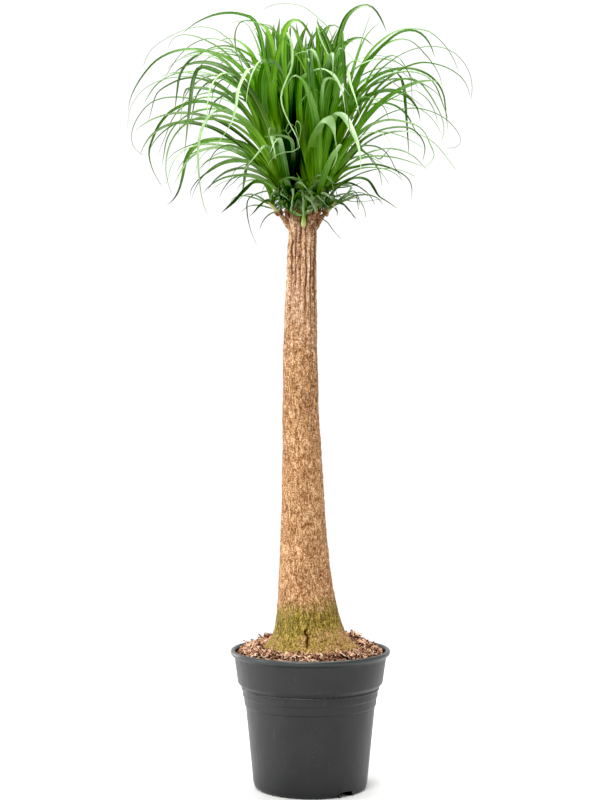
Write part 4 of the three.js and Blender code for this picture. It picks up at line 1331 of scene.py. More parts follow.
# The chips: three kinds, in millimetres, with their share of all, then where a chip's four sections
# are and how wide, how it lies, and how bent and ragged it is, its tone, and how much darker the
# chips in the hollow are painted: painted shade.
CHIP = {
    "flake": {"length": (6, 17), "width": (3.2, 7.5), "thick": (1.3, 2.8), "share": 0.55},
    "splinter": {"length": (9, 26), "width": (1.5, 3.2), "thick": (1.1, 2.0), "share": 0.35},
    "crumb": {"length": (2.6, 5.0), "width": (2.0, 4.0), "thick": (1.4, 2.8), "share": 0.10},
    "stations": (-0.5, -0.22, 0.24, 0.5), "widths": (0.5, 1.0, 0.92, 0.42), "mostly_small": 1.6,
    "stack": (7.5, 1.3, 0.25), "sunk": 2, "lift": 0.3, "reach": (0.42, 0.35), "round_stem": (5, 1.5),
    "wall_clearance": 2.5, "along_wall": (16, 4), "tilt": 0.3, "steep": (0.1, 1.9),
    "steepest": 0.75, "roll": 0.45, "bend": 0.1, "sweep": 0.14,
    "ends": 0.06, "ragged": ((0.7, 1.25), (0.8, 1.2), (0.6, 1.3)), "tone": (0.5, 0.33),
    "hollow_shade_and_algae_tone": 1.2, "seed": 17,
}


def chip_shapes(count, size):
    """Loose chips of shredded bark, lying over each other on the bed."""
    rng = np.random.default_rng(CHIP["seed"])
    kinds = [CHIP[name] for name in ("flake", "splinter", "crumb")]
    pick = rng.choice(3, count, p=[kind["share"] for kind in kinds])

    def measure(name):
        spans = np.array([kind[name] for kind in kinds])[pick]
        return lerp(spans[:, 0], spans[:, 1], rng.random(count) ** CHIP["mostly_small"]) * size

    length, width, thick = measure("length"), measure("width"), measure("thick")
    angle = TURN * rng.random(count)
    wall = fill_radius(MULCH.edge) - CHIP["wall_clearance"]
    above, clearance = CHIP["round_stem"]
    inner = lobed_radius(STEM.soil + above, angle) + clearance
    share, inner_share = CHIP["reach"]
    reach = share * length
    inner = inner + inner_share * reach
    radius = np.sqrt(lerp(inner**2, (wall - reach) ** 2, rng.random(count)))
    x, y = radius * np.cos(angle), radius * np.sin(angle)
    often, steeper = CHIP["steep"]
    tilt = rng.normal(0, CHIP["tilt"], count) * np.where(rng.random(count) < often, steeper, 1)
    tilt = np.clip(tilt, -CHIP["steepest"], CHIP["steepest"])
    roll, heading = rng.normal(0, CHIP["roll"], count), TURN * rng.random(count)
    near_wall = smoothstep(radius, *(wall - out for out in CHIP["along_wall"]))
    heading = np.where(rng.random(count) < near_wall, angle + 0.25 * TURN, heading)
    most, power, less = CHIP["stack"]
    pile = most * rng.random(count) ** power * (1 - less * near_wall)
    z = mulch_height(x, y) - CHIP["sunk"] + pile + CHIP["lift"] * length * np.abs(np.sin(tilt))

    # Four sections of four corners to each chip.
    x, y, z, roll, tilt, heading = (one[:, None, None] for one in (x, y, z, roll, tilt, heading))
    length, width, thick = (one[:, None, None] for one in (length, width, thick))
    along = np.array(CHIP["stations"])[None, :, None] * length
    along = along + CHIP["ends"] * length * rng.normal(0, 1, (count, 4, 1))
    corner_y = np.array([-1, 1, 1, -1]) * 0.5
    corner_z = np.array([-1, -1, 1, 1]) * 0.5
    in_width, over_width, in_height = (rng.uniform(*span, (count, 4, n)) for span, n in zip(
        CHIP["ragged"], (1, 4, 4)
    ))
    narrow = np.array(CHIP["widths"])[None, :, None] * in_width
    local_y = corner_y * width * narrow * over_width
    local_z = corner_z * thick * in_height
    bent = rng.normal(0, CHIP["bend"], count)[:, None, None] * along**2 / length
    sweep = rng.normal(0, CHIP["sweep"], count)[:, None, None] * along**2 / length
    local_x = along + 0 * local_y
    local_y, local_z = local_y + sweep, local_z + bent * 2

    rolled_y, rolled_z = rotated(local_y, local_z, roll)
    tilted_x, tilted_z = rotated(local_x, rolled_z, tilt)
    turned_x, turned_y = rotated(tilted_x, rolled_y, heading)
    points = np.stack([turned_x + x, turned_y + y, tilted_z + z], -1).reshape(count, 16, 3)

    quads = [[3, 2, 1, 0], [12, 13, 14, 15]]
    for ring in (0, 4, 8):
        for i, j in ((0, 1), (1, 2), (2, 3), (3, 0)):
            quads.append([ring + i, ring + j, ring + 4 + j, ring + 4 + i])
    faces = np.array(quads)[None] + 16 * np.arange(count)[:, None, None]
    # Chips in the hollow are painted darker: painted shade in the recess.
    hollow_shade_and_algae_tone = bell(x, y, *MULCH.hollow[:3]).ravel()
    tone = np.repeat(np.clip(rng.normal(*CHIP["tone"], count) - CHIP["hollow_shade_and_algae_tone"] * hollow_shade_and_algae_tone, 0, 1), 16)
    return shape(
        points, faces, chip_tone=tone, chip_x=local_x.ravel() + tone * 400, chip_y=local_y.ravel()
    )


def soil_shape():
    """The potting soil, a plug that fills the pot up to the mulch."""
    sides, top = SOIL.sides, SOIL.top
    turn = np.arange(sides) / sides
    outline = [(POT_WALL["floor"][0] - GAP, POT_WALL["floor"][1] + GAP)]
    outline += [(POT_WALL[name][0] - GAP, POT_WALL[name][1]) for name in ("base", "low", "foot")]
    outline.append((fill_radius(top), top))
    rings = []
    for (radius, z), (next_radius, next_z) in zip(outline[:-1], outline[1:]):
        for share in np.linspace(0, 1, SOIL.rows, endpoint=False):
            rings.append(circle(lerp(radius, next_radius, share), lerp(z, next_z, share), sides))
    for radius in np.linspace(fill_radius(top), SOIL.inner, SOIL.rings):
        crumbs = SOIL.crumbs * layered_noise(turn, np.full(sides, radius), 48, 9, 95)
        rings.append(circle(radius, top + (crumbs - SOIL.sunk), sides))
    return skinned(rings)


# Dried leaf bases: first a big head's and a shoot's, then what both draw their leaf bases from.
SHEATHS = {
    "head": {"count": 15, "up": 1, "length": 1, "width": 17},
    "shoot": {"count": 9, "up": 0.4, "length": 0.6, "width": 11},
    "up": (-15, -2), "length": (9, 19), "flare": (0.0, 0.32), "width": (0.6, 1), "out": 1.02,
    "wander": 0.4, "curl": 0.35, "curve": 1.7, "taper": 1.3, "steps": 8, "seed": 77,
}


def sheath_shapes():
    """Dry brown leaf bases that stand round the foot of each head."""
    random = random_stream(SHEATHS["seed"])
    made = []
    s = (np.arange(SHEATHS["steps"] + 1) / SHEATHS["steps"])[:, None]
    for one in HEADS[:6]:
        kind = SHEATHS["shoot" if is_shoot(one) else "head"]
        aim = head_aim(one)
        side = unit(np.cross(aim, (0.2, 1, 0.1)))
        other = np.cross(aim, side)
        foot = beside_stem(one["foot"])
        for i in range(kind["count"]):
            angle = i * GOLDEN_ANGLE + SHEATHS["wander"] * random()
            out = side * math.cos(angle) + other * math.sin(angle)
            up = lerp(*SHEATHS["up"], random()) * kind["up"]
            length = lerp(*SHEATHS["length"], random()) * kind["length"]
            flare = lerp(*SHEATHS["flare"], random())
            start = foot + aim * up + out * (one["core"][0] * SHEATHS["out"])
            upward = aim * length * s * (1 - SHEATHS["curl"] * flare * s)
            points = start + upward + out * length * flare * s ** SHEATHS["curve"]
            forward = directions(points)
            across = units(np.cross(forward, out))
            width = kind["width"] * lerp(*SHEATHS["width"], random())
            stations = {
                "points": points,
                "across": across,
                "face": np.cross(across, forward),
                "widths": (width * (1 - s ** SHEATHS["taper"])).ravel(),
                "age": 0,
            }
            made.append(blade_shape(stations, random))
    return made


def pot_material(settings):
    """Polypropylene, injection moulded: a satin skin with a faint grain that dust settles on."""
    material, node = new_material("polypropylene_moulded")
    where = node("TexCoord", out="Object")
    height = node("SeparateXYZ", {0: where}, out="Z")
    plastic, worn, dust = opaque(settings.plastic), opaque(settings.worn), opaque(settings.dust)
    cloud = node("TexNoise", {"Vector": where, "Scale": per_metre(60), "Detail": 4.0})
    scuffed = node("MapRange", {0: cloud, 1: 0.3, 2: 0.7}, **SMOOTH)
    base = node("Mix", {0: scuffed, 6: plastic, 7: worn}, **COLOURS)
    # Watering leaves faint chalky runs down the wall, 9 mm wide.
    tall = node("Mapping", {"Vector": where, "Scale": (1, 1, 0.12)})
    streak = node("TexNoise", {"Vector": tall, "Scale": per_metre(9), "Detail": 5.0, "Roughness": 0.65})
    run = node("MapRange", {0: streak, 1: 0.58, 2: 0.82, 4: 0.13}, **SMOOTH)
    base = node("Mix", {0: run, 6: base, 7: dust}, **COLOURS)
    # Dust lies in specks of 1 to 2 mm and settles on the ledges.
    spots = node("TexVoronoi", {"Vector": where, "Scale": per_metre(9)}, out="Distance")
    speck = node("MapRange", {0: spots, 1: 0.1, 2: 0.05, 4: 0.45}, **SMOOTH)
    drift = node("TexNoise", {"Vector": where, "Scale": per_metre(24), "Detail": 3.0})
    patchy = node("MapRange", {0: drift, 1: 0.5, 2: 0.66}, **SMOOTH)
    facing = node("NewGeometry", out="Normal")
    upward = node("SeparateXYZ", {0: facing}, out="Z")
    ledge = node("MapRange", {0: upward, 1: 0.25, 2: 0.9, 4: 0.5}, **SMOOTH)
    fine = node("TexNoise", {"Vector": where, "Scale": per_metre(5), "Detail": 4.0})
    settled = node("MapRange", {0: fine, 1: 0.25, 2: 0.7}, **SMOOTH)
    # The bead is rubbed by handling, so it is smoother and a little lighter. Its bluish grey is also a
    # painted highlight along the rim.
    rubbed_and_highlit = node("MapRange", {0: height, 1: 0.2535, 2: 0.2620}, **SMOOTH)
    for one, other, colour in (
        (speck, patchy, dust), (ledge, settled, dust), (rubbed_and_highlit, 0.35, opaque(settings.bead))
    ):
        share = node("Math", {0: one, 1: other}, operation="MULTIPLY")
        base = node("Mix", {0: share, 6: base, 7: colour}, **COLOURS)
    rough = node("MapRange", {0: streak, 1: 0.2, 2: 0.8, 3: 0.38, 4: 0.52}, **SMOOTH)
    rough = node("Math", {0: rubbed_and_highlit, 1: -0.08, 2: rough}, operation="MULTIPLY_ADD")
    # The mould's spark grain, drawn at about twice its real 0.4 mm so that it shows.
    grain = node("TexNoise", {"Vector": where, "Scale": 1 / settings.grain})
    bump = node("Bump", {"Strength": 0.18, "Distance": 0.0004, "Height": grain})
    skin = {"Base Color": base, "Roughness": rough, "IOR": 1.49, "Normal": bump}
    node("OutputMaterial", {0: node("BsdfPrincipled", skin)})
    return material


def soil_material(settings):
    """Moist peat: dark, crumbly and dull."""
    material, node = new_material("peat_moist")
    where = node("TexCoord", out="Object")
    crumbs = node("TexNoise", {"Vector": where, "Scale": per_metre(3), "Detail": 6.0, "Roughness": 0.7})
    colour = node("ValToRGB", {0: crumbs}, ramp=[(0.3, settings.soil), (0.72, settings.crumb)])
    bump = node("Bump", {"Distance": 0.002, "Height": crumbs})
    skin = {"Base Color": colour, "Roughness": 0.95, "Normal": bump}
    node("OutputMaterial", {0: node("BsdfPrincipled", skin)})
    return material


def mulch_material(settings):
    """Shredded pine bark: dry fibres along each chip, dark where it was the outer bark."""
    material, node = new_material("pine_bark_shredded")
    where = node("TexCoord", out="Object")
    chip_x, chip_y, chip_tone = (
        node("Attribute", out="Fac", attribute_name=name) for name in ("chip_x", "chip_y", "chip_tone")
    )
    local = node("CombineXYZ", {0: chip_x, 1: chip_y, 2: chip_tone})
    # Fibres are about 1 mm wide and 8 mm long, in the chip's own millimetres.
    lengthwise = node("Mapping", {"Vector": local, "Scale": (0.12, 1.0, 1.0)})
    fibres = node("TexNoise", {"Vector": lengthwise, "Scale": 1.0, "Detail": 4.0, "Roughness": 0.65})
    blotch = node("TexNoise", {"Vector": where, "Scale": per_metre(4), "Detail": 3.0})
    shade = -1.45
    for value, weight in ((chip_tone, 1.1), (fibres, 1.9), (blotch, 0.9)):
        shade = node("Math", {0: value, 1: weight, 2: shade}, operation="MULTIPLY_ADD")
    tones = [(0.04, settings.char), (0.3, settings.dark), (0.5, settings.bark)]
    tones += [(0.72, settings.pale), (0.98, settings.fibre)]
    colour = node("ValToRGB", {0: shade}, ramp=tones)
    bump = node("Bump", {"Strength": 0.5, "Distance": 0.0006, "Height": fibres})
    skin = {"Base Color": colour, "Roughness": 0.86, "Normal": bump}
    node("OutputMaterial", {0: node("BsdfPrincipled", skin)})
    return material


def bark_material(settings):
    """Corky bark, grown: dry plates over dark cracks, pale at the top, with algae at the foot."""
    material, node = new_material("cork_bark_grown")
    where = node("TexCoord", out="Object")
    height = node("SeparateXYZ", {0: where}, out="Z")
    aside = node("SeparateXYZ", {0: where}, out="X")
    crack = node("Attribute", out="Fac", attribute_name="bark_crack")
    tone = node("Attribute", out="Fac", attribute_name="bark_tone")
    # Cork granules are about 1.5 mm and are drawn at 2.6 mm, so that they show from 3 m away. The
    # fibres that run up the bark are 3 mm wide and 12 mm long.
    upright = node("Mapping", {"Vector": where, "Scale": (1, 1, 0.25)})
    granules = node("TexNoise", {"Vector": where, "Scale": per_metre(2.6)})
    fibres = node("TexNoise", {"Vector": upright, "Scale": per_metre(3), "Detail": 3.0, "Roughness": 0.6})
    flecks = node("TexNoise", {"Vector": where, "Scale": per_metre(6)})
    blotch = node("TexNoise", {"Vector": where, "Scale": per_metre(34), "Detail": 3.0})
    shade = -2.37
    for value, weight in (
        (granules, 2.4), (fibres, 2.1), (flecks, 0.55), (tone, 0.45), (blotch, 0.1)
    ):
        shade = node("Math", {0: value, 1: weight, 2: shade}, operation="MULTIPLY_ADD")
    old = ("shadow", "cork", "cork_light", "cork_pale")
    young = ("shadow", "cork_light", "top_pale", "top_bright")
    tan, pale = (
        node("ValToRGB", {0: shade}, ramp=[(at, getattr(settings, name)) for at, name in zip(places, names)])
        for places, names in (((0.0, 0.4, 0.7, 1.0), old), ((0.0, 0.3, 0.6, 1.0), young))
    )
    rise = node("MapRange", {0: height, 1: 0.78, 2: 1.0}, **SMOOTH)
    colour = node("Mix", {0: rise, 6: tan, 7: pale}, **COLOURS)
    # Algae grow on the damp foot. Their upper edge is ragged and the thickest, and they are
    # patchy and thinner to the right, where the bark shows through.
    ragged = node("TexNoise", {"Vector": where, "Scale": per_metre(24), "Detail": 5.0})
    edge = height
    for value, weight in ((ragged, 0.05), (fibres, 0.05), (aside, -0.08)):
        edge = node("Math", {0: value, 1: weight, 2: edge}, operation="MULTIPLY_ADD")
    top = settings.algae_top + 0.05
    grown = node("MapRange", {0: edge, 1: top + 0.02, 2: top - 0.02}, **SMOOTH)
    belt = node("MapRange", {0: edge, 1: top - 0.06, 2: top - 0.02, 4: 0.3}, **SMOOTH)
    right = node("MapRange", {0: aside, 1: -0.03, 2: 0.05, 4: 0.14}, **SMOOTH)
    patches = node("TexNoise", {"Vector": upright, "Scale": per_metre(9), "Detail": 5.0, "Roughness": 0.7})
    spread = node("Math", {0: blotch, 1: 0.7, 2: patches}, operation="MULTIPLY_ADD")
    spread = node("Math", {0: spread, 1: belt}, operation="ADD")
    spread = node("Math", {0: spread, 1: right}, operation="SUBTRACT")
    thick = node("MapRange", {0: spread, 1: 0.56, 2: 0.92, 3: 0.12, 4: 0.9}, **SMOOTH)
    algae = node("Math", {0: grown, 1: thick}, operation="MULTIPLY")
    # Under them the bark's fibres run down into the roots, 2.6 mm wide and 24 mm long.
    long = node("Mapping", {"Vector": where, "Scale": (1, 1, 0.11)})
    strands = node("TexNoise", {"Vector": long, "Scale": per_metre(2.6), "Detail": 3.0, "Roughness": 0.6})
    hollow_shade_and_algae_tone = -1.6
    for value, weight in ((granules, 1.3), (strands, 2.9), (belt, -0.45)):
        hollow_shade_and_algae_tone = node("Math", {0: value, 1: weight, 2: hollow_shade_and_algae_tone}, operation="MULTIPLY_ADD")
    greens = [(0.1, settings.algae_dark), (0.5, settings.algae), (0.9, settings.algae_light)]
    green = node("ValToRGB", {0: hollow_shade_and_algae_tone}, ramp=greens)
    colour = node("Mix", {0: algae, 6: colour, 7: green}, **COLOURS)
    deep = node("MapRange", {0: crack, 1: 0.05, 2: 0.85, 4: 0.92}, **SMOOTH)
    colour = node("Mix", {0: deep, 6: colour, 7: opaque(settings.crack)}, **COLOURS)
    relief = node("Math", {0: fibres, 1: granules}, operation="ADD")
    bump = node("Bump", {"Strength": 0.8, "Distance": 0.0016, "Height": relief})
    skin = {"Base Color": colour, "Roughness": 0.92, "Specular IOR Level": 0.25, "Normal": bump}
    node("OutputMaterial", {0: node("BsdfPrincipled", skin)})
    return material


def leaf_material(name, settings, young):
    """Living strap leaf: a waxy skin over green tissue that light shines through."""
    material, node = new_material(name)
    where = node("TexCoord", out="Object")
    along, across, tone, under, age, dry, bloom, nook = (
        node("Attribute", out="Fac", attribute_name="leaf_" + mark)
        for mark in ("along", "across", "tone", "under", "age", "dry", "bloom", "shade")
    )
    blotch = node("TexNoise", {"Vector": where, "Scale": per_metre(30), "Detail": 3.0})
    shade = node("Math", {0: blotch, 1: 0.5, 2: young - 0.25}, operation="MULTIPLY_ADD")
    for value, weight in ((tone, 1.0), (age, -0.3)):
        shade = node("Math", {0: value, 1: weight, 2: shade}, operation="MULTIPLY_ADD")
    greens = [(0.0, settings.deep), (0.45, settings.green), (1.0, settings.bright)]
    colour = node("ValToRGB", {0: shade}, ramp=greens)
    # Veins run the leaf's whole length. They are 0.5 mm apart, and drawn wider so that they show.
    phase = node("Math", {0: across, 1: TURN / (settings.vein_spacing / MM)}, operation="MULTIPLY")
    wave = node("Math", {0: phase}, operation="SINE")
    vein = node("MapRange", {0: wave, 1: 0.1, 2: 1.0, 4: 0.3}, **SMOOTH)
    off_middle = node("Math", {0: across}, operation="ABSOLUTE")
    middle = node("MapRange", {0: off_middle, 1: 1.6, 2: 0.4, 4: 0.45}, **SMOOTH)
    # The lower half of a blade is paler and yellower, the more so on young leaves.
    low_half = node("MapRange", {0: along, 1: 0.55, 2: 0.16, 4: 0.9}, **SMOOTH)
    fresh = node("MapRange", {0: age, 1: 0.75, 2: 0.2}, **SMOOTH)
    lime = node("Math", {0: low_half, 1: fresh}, operation="MULTIPLY")
    lower = node("Math", {0: under, 1: 0.4}, operation="MULTIPLY")
    # A pale bloom lies in patches of 30 mm where a leaf has arched over: partly wax and partly a painted
    # sheen of the light from above.
    patchy = node("MapRange", {0: blotch, 1: 0.3, 2: 0.6, 3: 0.55, 4: 0.9}, **SMOOTH)
    waxy_and_sheeny = node("Math", {0: bloom, 1: patchy}, operation="MULTIPLY")
    foot = node("MapRange", {0: along, 1: 0.07, 2: 0.0, 4: 0.85}, **SMOOTH)
    tip = node("MapRange", {0: along, 1: 0.93, 2: 1.0}, **SMOOTH)
    withered = node("Math", {0: tip, 1: dry}, operation="MULTIPLY")
    # The shade mark mixes leaves towards the shaded green: painted shade.
    for share, paint in (
        (lime, settings.lime),
        (vein, settings.vein),
        (middle, settings.vein),
        (lower, settings.underside),
        (nook, settings.shaded),
        (waxy_and_sheeny, settings.bloom),
        (foot, settings.base),
        (withered, settings.dry),
    ):
        colour = node("Mix", {0: share, 6: colour, 7: opaque(paint)}, **COLOURS)
    cloud = node("TexNoise", {"Vector": where, "Scale": per_metre(8), "Detail": 3.0})
    rough = node("MapRange", {0: cloud, 1: 0.2, 2: 0.8, 3: 0.3, 4: 0.42}, **SMOOTH)
    bump = node("Bump", {"Strength": 0.3, "Distance": 0.0005, "Height": wave})
    skin = {
        "Base Color": colour,
        "Roughness": rough,
        "IOR": 1.47,
        "Specular IOR Level": 0.28,
        "Normal": bump,
    }
    through = node("Mix", {0: 0.6, 6: colour, 7: opaque(settings.glow)}, **COLOURS)
    both = {
        0: 0.32,
        1: node("BsdfPrincipled", skin),
        2: node("BsdfTranslucent", {"Color": through, "Normal": bump}),
    }
    node("OutputMaterial", {0: node("MixShader", both)})
    return material


def sheath_material(settings):
    """Dried leaf base: papery, brown and fibrous."""
    material, node = new_material("leaf_sheath_dried")
    where = node("TexCoord", out="Object")
    upright = node("Mapping", {"Vector": where, "Scale": (1, 1, 0.25)})
    fibres = node("TexNoise", {"Vector": upright, "Scale": per_metre(2), "Detail": 4.0, "Roughness": 0.65})
    tone = node("Attribute", out="Fac", attribute_name="leaf_tone")
    along = node("Attribute", out="Fac", attribute_name="leaf_along")
    shade = 0.0
    for value, weight in ((tone, 0.6), (fibres, 0.6), (along, 0.2)):
        shade = node("Math", {0: value, 1: weight, 2: shade}, operation="MULTIPLY_ADD")
    browns = [(0.2, settings.sheath_dark), (0.6, settings.sheath), (0.95, settings.sheath_pale)]
    colour = node("ValToRGB", {0: shade}, ramp=browns)
    bump = node("Bump", {"Strength": 0.5, "Distance": 0.0005, "Height": fibres})
    skin = {"Base Color": colour, "Roughness": 0.75, "Normal": bump}
    node("OutputMaterial", {0: node("BsdfPrincipled", skin)})
    return material


def floor_material(settings):
    """Matt painted board, rolled: plain, pale and without gloss."""
    material, node = new_material("painted_board_matt")
    where = node("TexCoord", out="Object")
    cloud = node("TexNoise", {"Vector": where, "Scale": per_metre(900)})
    share = node("MapRange", {0: cloud, 1: 0.2, 2: 0.8, 4: 0.04}, **SMOOTH)
    paint = {0: share, 6: opaque(settings.floor), 7: opaque(settings.floor_shade)}
    skin = {"Base Color": node("Mix", paint, **COLOURS), "Roughness": 0.9}
    node("OutputMaterial", {0: node("BsdfPrincipled", skin)})
    return material


def number_property(name, description, default, **limits):
    """A number that a user can change."""
    return bpy.props.FloatProperty(name=name, description=description, default=default, **limits)


def colour_property(name, description, code):
    """A colour that a user can change, from its sRGB hex value."""
    return bpy.props.FloatVectorProperty(
        name=name, description=description, subtype="COLOR", size=3, min=0, max=1, default=linear(code)
    )


class PotSettings(bpy.types.PropertyGroup):
    plastic: colour_property("Plastic", "Colour of the moulded pot", "#0f1011")
    worn: colour_property("Worn plastic", "Colour where the plastic is scuffed", "#161718")
    # The bead's colour is rubbed plastic and a painted highlight.
    bead: colour_property("Bead", "Colour of the rubbed bead at the rim", "#3c4446")
    dust: colour_property("Dust", "Colour of dust and lime on the plastic", "#7d786c")
    grain: number_property("Grain", "Size of the moulded grain", 0.0009, unit="LENGTH")
    sides: bpy.props.IntProperty(
        name="Sides", description="How many sides make the pot round", default=224, min=48, max=512
    )


class MulchSettings(bpy.types.PropertyGroup):
    chips: bpy.props.IntProperty(
        name="Chips", description="How many loose chips lie on the soil", default=3600, min=0
    )
    size: number_property("Chip size", "Size of the chips against the real ones", 1.0, min=0.3, max=3)
    char: colour_property("Outer bark", "Darkest bark", "#1f110a")
    dark: colour_property("Dark bark", "Damp bark", "#5f3720")
    bark: colour_property("Bark", "Usual colour of a chip", "#9e6c4f")
    pale: colour_property("Pale bark", "Freshly broken bark", "#c49678")
    fibre: colour_property("Fibre", "Bleached wood fibre", "#e0c3a6")
    soil: colour_property("Soil", "Moist peat", "#20150f")
    crumb: colour_property("Crumbs", "Dry crumbs of peat", "#4a3324")


class TrunkSettings(bpy.types.PropertyGroup):
    algae_top: number_property("Algae up to", "Height of the green foot", 0.354, unit="LENGTH")
    shadow: colour_property("Shaded cork", "Between the cork's granules", "#75492a")
    cork: colour_property("Cork", "Usual colour of the bark", "#a57b53")
    cork_light: colour_property("Light cork", "Tops of the plates", "#c1986f")
    cork_pale: colour_property("Pale cork", "Weathered flakes", "#dab994")
    top_pale: colour_property("Young bark", "Plates on the top of the stem", "#c59f80")
    top_bright: colour_property("Bright young bark", "Weathered plates near the top", "#efd4bd")
    crack: colour_property("Cracks", "Depth of the furrows and cracks", "#4c2a17")
    algae: colour_property("Algae", "Green film on the foot", "#857528")
    algae_dark: colour_property("Dark algae", "Thick algae", "#3f4208")
    algae_light: colour_property("Light algae", "Dry algae", "#c0a45c")


class LeafSettings(bpy.types.PropertyGroup):
    more: number_property("More leaves", "Share of the finer leaves that are grown", 1.0, min=0, max=2)
    vein_spacing: number_property("Vein spacing", "Distance between the drawn veins", 0.0042, unit="LENGTH")
    deep: colour_property("Deep green", "Oldest leaves", "#0f3104")
    shaded: colour_property("Shaded green", "Leaves between the heads and at their feet", "#081d03")
    green: colour_property("Green", "Usual colour of a leaf", "#387a0d")
    bright: colour_property("Bright green", "Youngest leaves", "#74ac1b")
    lime: colour_property("Lime green", "Lower half of young leaves", "#7eb32a")
    vein: colour_property("Veins", "Pale lines along a leaf", "#96c04e")
    underside: colour_property("Underside", "Duller lower face", "#578a3c")
    # The bloom colour is partly wax and partly a painted sheen of the light from above.
    bloom: colour_property("Bloom", "Pale wax on arched leaves", "#cfe6b8")
    base: colour_property("Leaf base", "Pale foot of a leaf", "#c9c48c")
    dry: colour_property("Dry tip", "Withered tip of an old leaf", "#9c8452")
    glow: colour_property("Glow", "Light that comes through a leaf", "#86c81c")
    sheath: colour_property("Sheath", "Dried leaf base", "#7c5034")
    sheath_dark: colour_property("Dark sheath", "Damp or old leaf base", "#3d2115")
    sheath_pale: colour_property("Pale sheath", "Bleached leaf base", "#bb8f66")


class StageSettings(bpy.types.PropertyGroup):
    floor: colour_property("Floor", "Colour of the floor", "#f1f1f0")
    floor_shade: colour_property("Floor, shaded", "Faint clouds in the paint", "#e6e6e5")
    sky: number_property("Ambient light", "Strength of the light from above and below", 0.3, min=0)
    horizon: number_property("Horizon", "Strength of the light from the white walls", 0.85, min=0)
    key: number_property("Key light", "Power of the large light above the front", 80, unit="POWER")
    side: number_property("Side lights", "Power of the tall lights at both sides", 16, unit="POWER")
    top: number_property("Top light", "Power of the light above the crown", 90, unit="POWER")


class PALM_OT_add_pot(bpy.types.Operator):
    """Builds the nursery pot, with its bead, steps and drain notches"""

    bl_idname = "palm.add_pot"
    bl_label = "Pot"

    def execute(self, context):
        settings = context.scene.palm_pot
        outline = [(0, 0)] + [tuple(p) for p in fillet(POT_OUTLINE)] + [(0, 3)]
        rings = [circle(radius, z, settings.sides) for radius, z in outline[1:-1]]
        pot = mesh_object("nursery_pot", skinned(rings))
        start, end = DRAIN.ends
        roof, width, height = DRAIN.roof, DRAIN.width, DRAIN.height
        roofs = mesh_object("drain_roofs", drain_roofs(POT_OUTLINE[-1][1] / 2, 0))
        cuts = [block(angle, start, end, width, -height, height) for angle in DRAIN.angles]
        for angle in DRAIN.angles:
            for out in DRAIN.holes_at:
                path = [(*spot(out, angle), height + end * roof) for end in (-2, 2)]
                cuts.append(tube(path, DRAIN.hole_radius, DRAIN.hole_sides))
        channels = mesh_object("drain_channels", merged(cuts))
        carve(context, pot, (roofs, "UNION"), (channels, "DIFFERENCE"))
        finish_piece(pot, pot_material(settings), ["pot"], crease=32)
        return {"FINISHED"}


class PALM_OT_add_soil(bpy.types.Operator):
    """Builds the potting soil that fills the pot under the mulch"""

    bl_idname = "palm.add_soil"
    bl_label = "Potting soil"

    def execute(self, context):
        material = soil_material(context.scene.palm_mulch)
        soil = mesh_object("potting_soil_fill", soil_shape())
        carve(context, soil, (mesh_object("drain_room", drain_roofs(0, GAP)), "DIFFERENCE"))
        finish_piece(soil, material, ["potting_soil"])
        return {"FINISHED"}


class PALM_OT_add_mulch(bpy.types.Operator):
    """Builds the bed of fine bark and the loose chips on it"""

    bl_idname = "palm.add_mulch"
    bl_label = "Bark mulch"

    def execute(self, context):
        settings = context.scene.palm_mulch
        material = mulch_material(settings)
        add_piece("mulch_bed", bed_shape(), material, ["bark_mulch"])
        chips = chip_shapes(settings.chips, settings.size)
        add_piece("mulch_chips", chips, material, ["bark_mulch"], crease=25)
        return {"FINISHED"}


class PALM_OT_add_trunk(bpy.types.Operator):
    """Builds the corky stem with its root crown, roots and short branches"""

    bl_idname = "palm.add_trunk"
    bl_label = "Trunk"

    def execute(self, context):
        material = bark_material(context.scene.palm_trunk)
        add_piece("trunk_bark", stem_shape(), material, ["stem"], crease=70)
        branches = merged(collar_shapes() + root_shapes())
        add_piece("trunk_branches", branches, material, ["stem"], crease=70)
        return {"FINISHED"}


def grow(context, heads, material_name, young):
    """Builds one piece for each of these heads."""
    settings = context.scene.palm_leaves
    material = leaf_material(material_name, settings, young)
    for one in heads:
        random = random_stream(one["seed"] + LEAF.seed)
        blades = [blade_shape(stations, random) for stations in head_leaves(one, settings.more)]
        form = merged([core_shape(one)] + blades)
        add_piece(one["name"] + "_leaves", form, material, [one["name"]], crease=24)


class PALM_OT_add_leaf_heads(bpy.types.Operator):
    """Grows the four large heads of strap leaves"""

    bl_idname = "palm.add_leaf_heads"
    bl_label = "Leaf heads"

    def execute(self, context):
        grow(context, HEADS[:4], "strap_leaf_living", 0.05)
        return {"FINISHED"}


class PALM_OT_add_shoots(bpy.types.Operator):
    """Grows the small shoots at both sides and in front"""

    bl_idname = "palm.add_shoots"
    bl_label = "Shoots"

    def execute(self, context):
        grow(context, HEADS[4:6], "shoot_leaf_living", -0.05)
        grow(context, HEADS[6:], "young_leaf_living", 0.35)
        return {"FINISHED"}


class PALM_OT_add_sheaths(bpy.types.Operator):
    """Adds the dried leaf bases round the foot of each head"""

    bl_idname = "palm.add_sheaths"
    bl_label = "Dried leaf bases"

    def execute(self, context):
        material = sheath_material(context.scene.palm_leaves)
        add_piece("dried_leaf_bases", merged(sheath_shapes()), material, ["stem"])
        return {"FINISHED"}


CAMERA = SimpleNamespace(place=(-0.020, -3.050, 0.749), sensor=36.0, lens=70.75)
STAGE = SimpleNamespace(
    radius=1.7, sides=96, inner=0.02, thickness=10, aim=(-0.01, 0, 0.9), exposure=0.3, black=0.009,
)
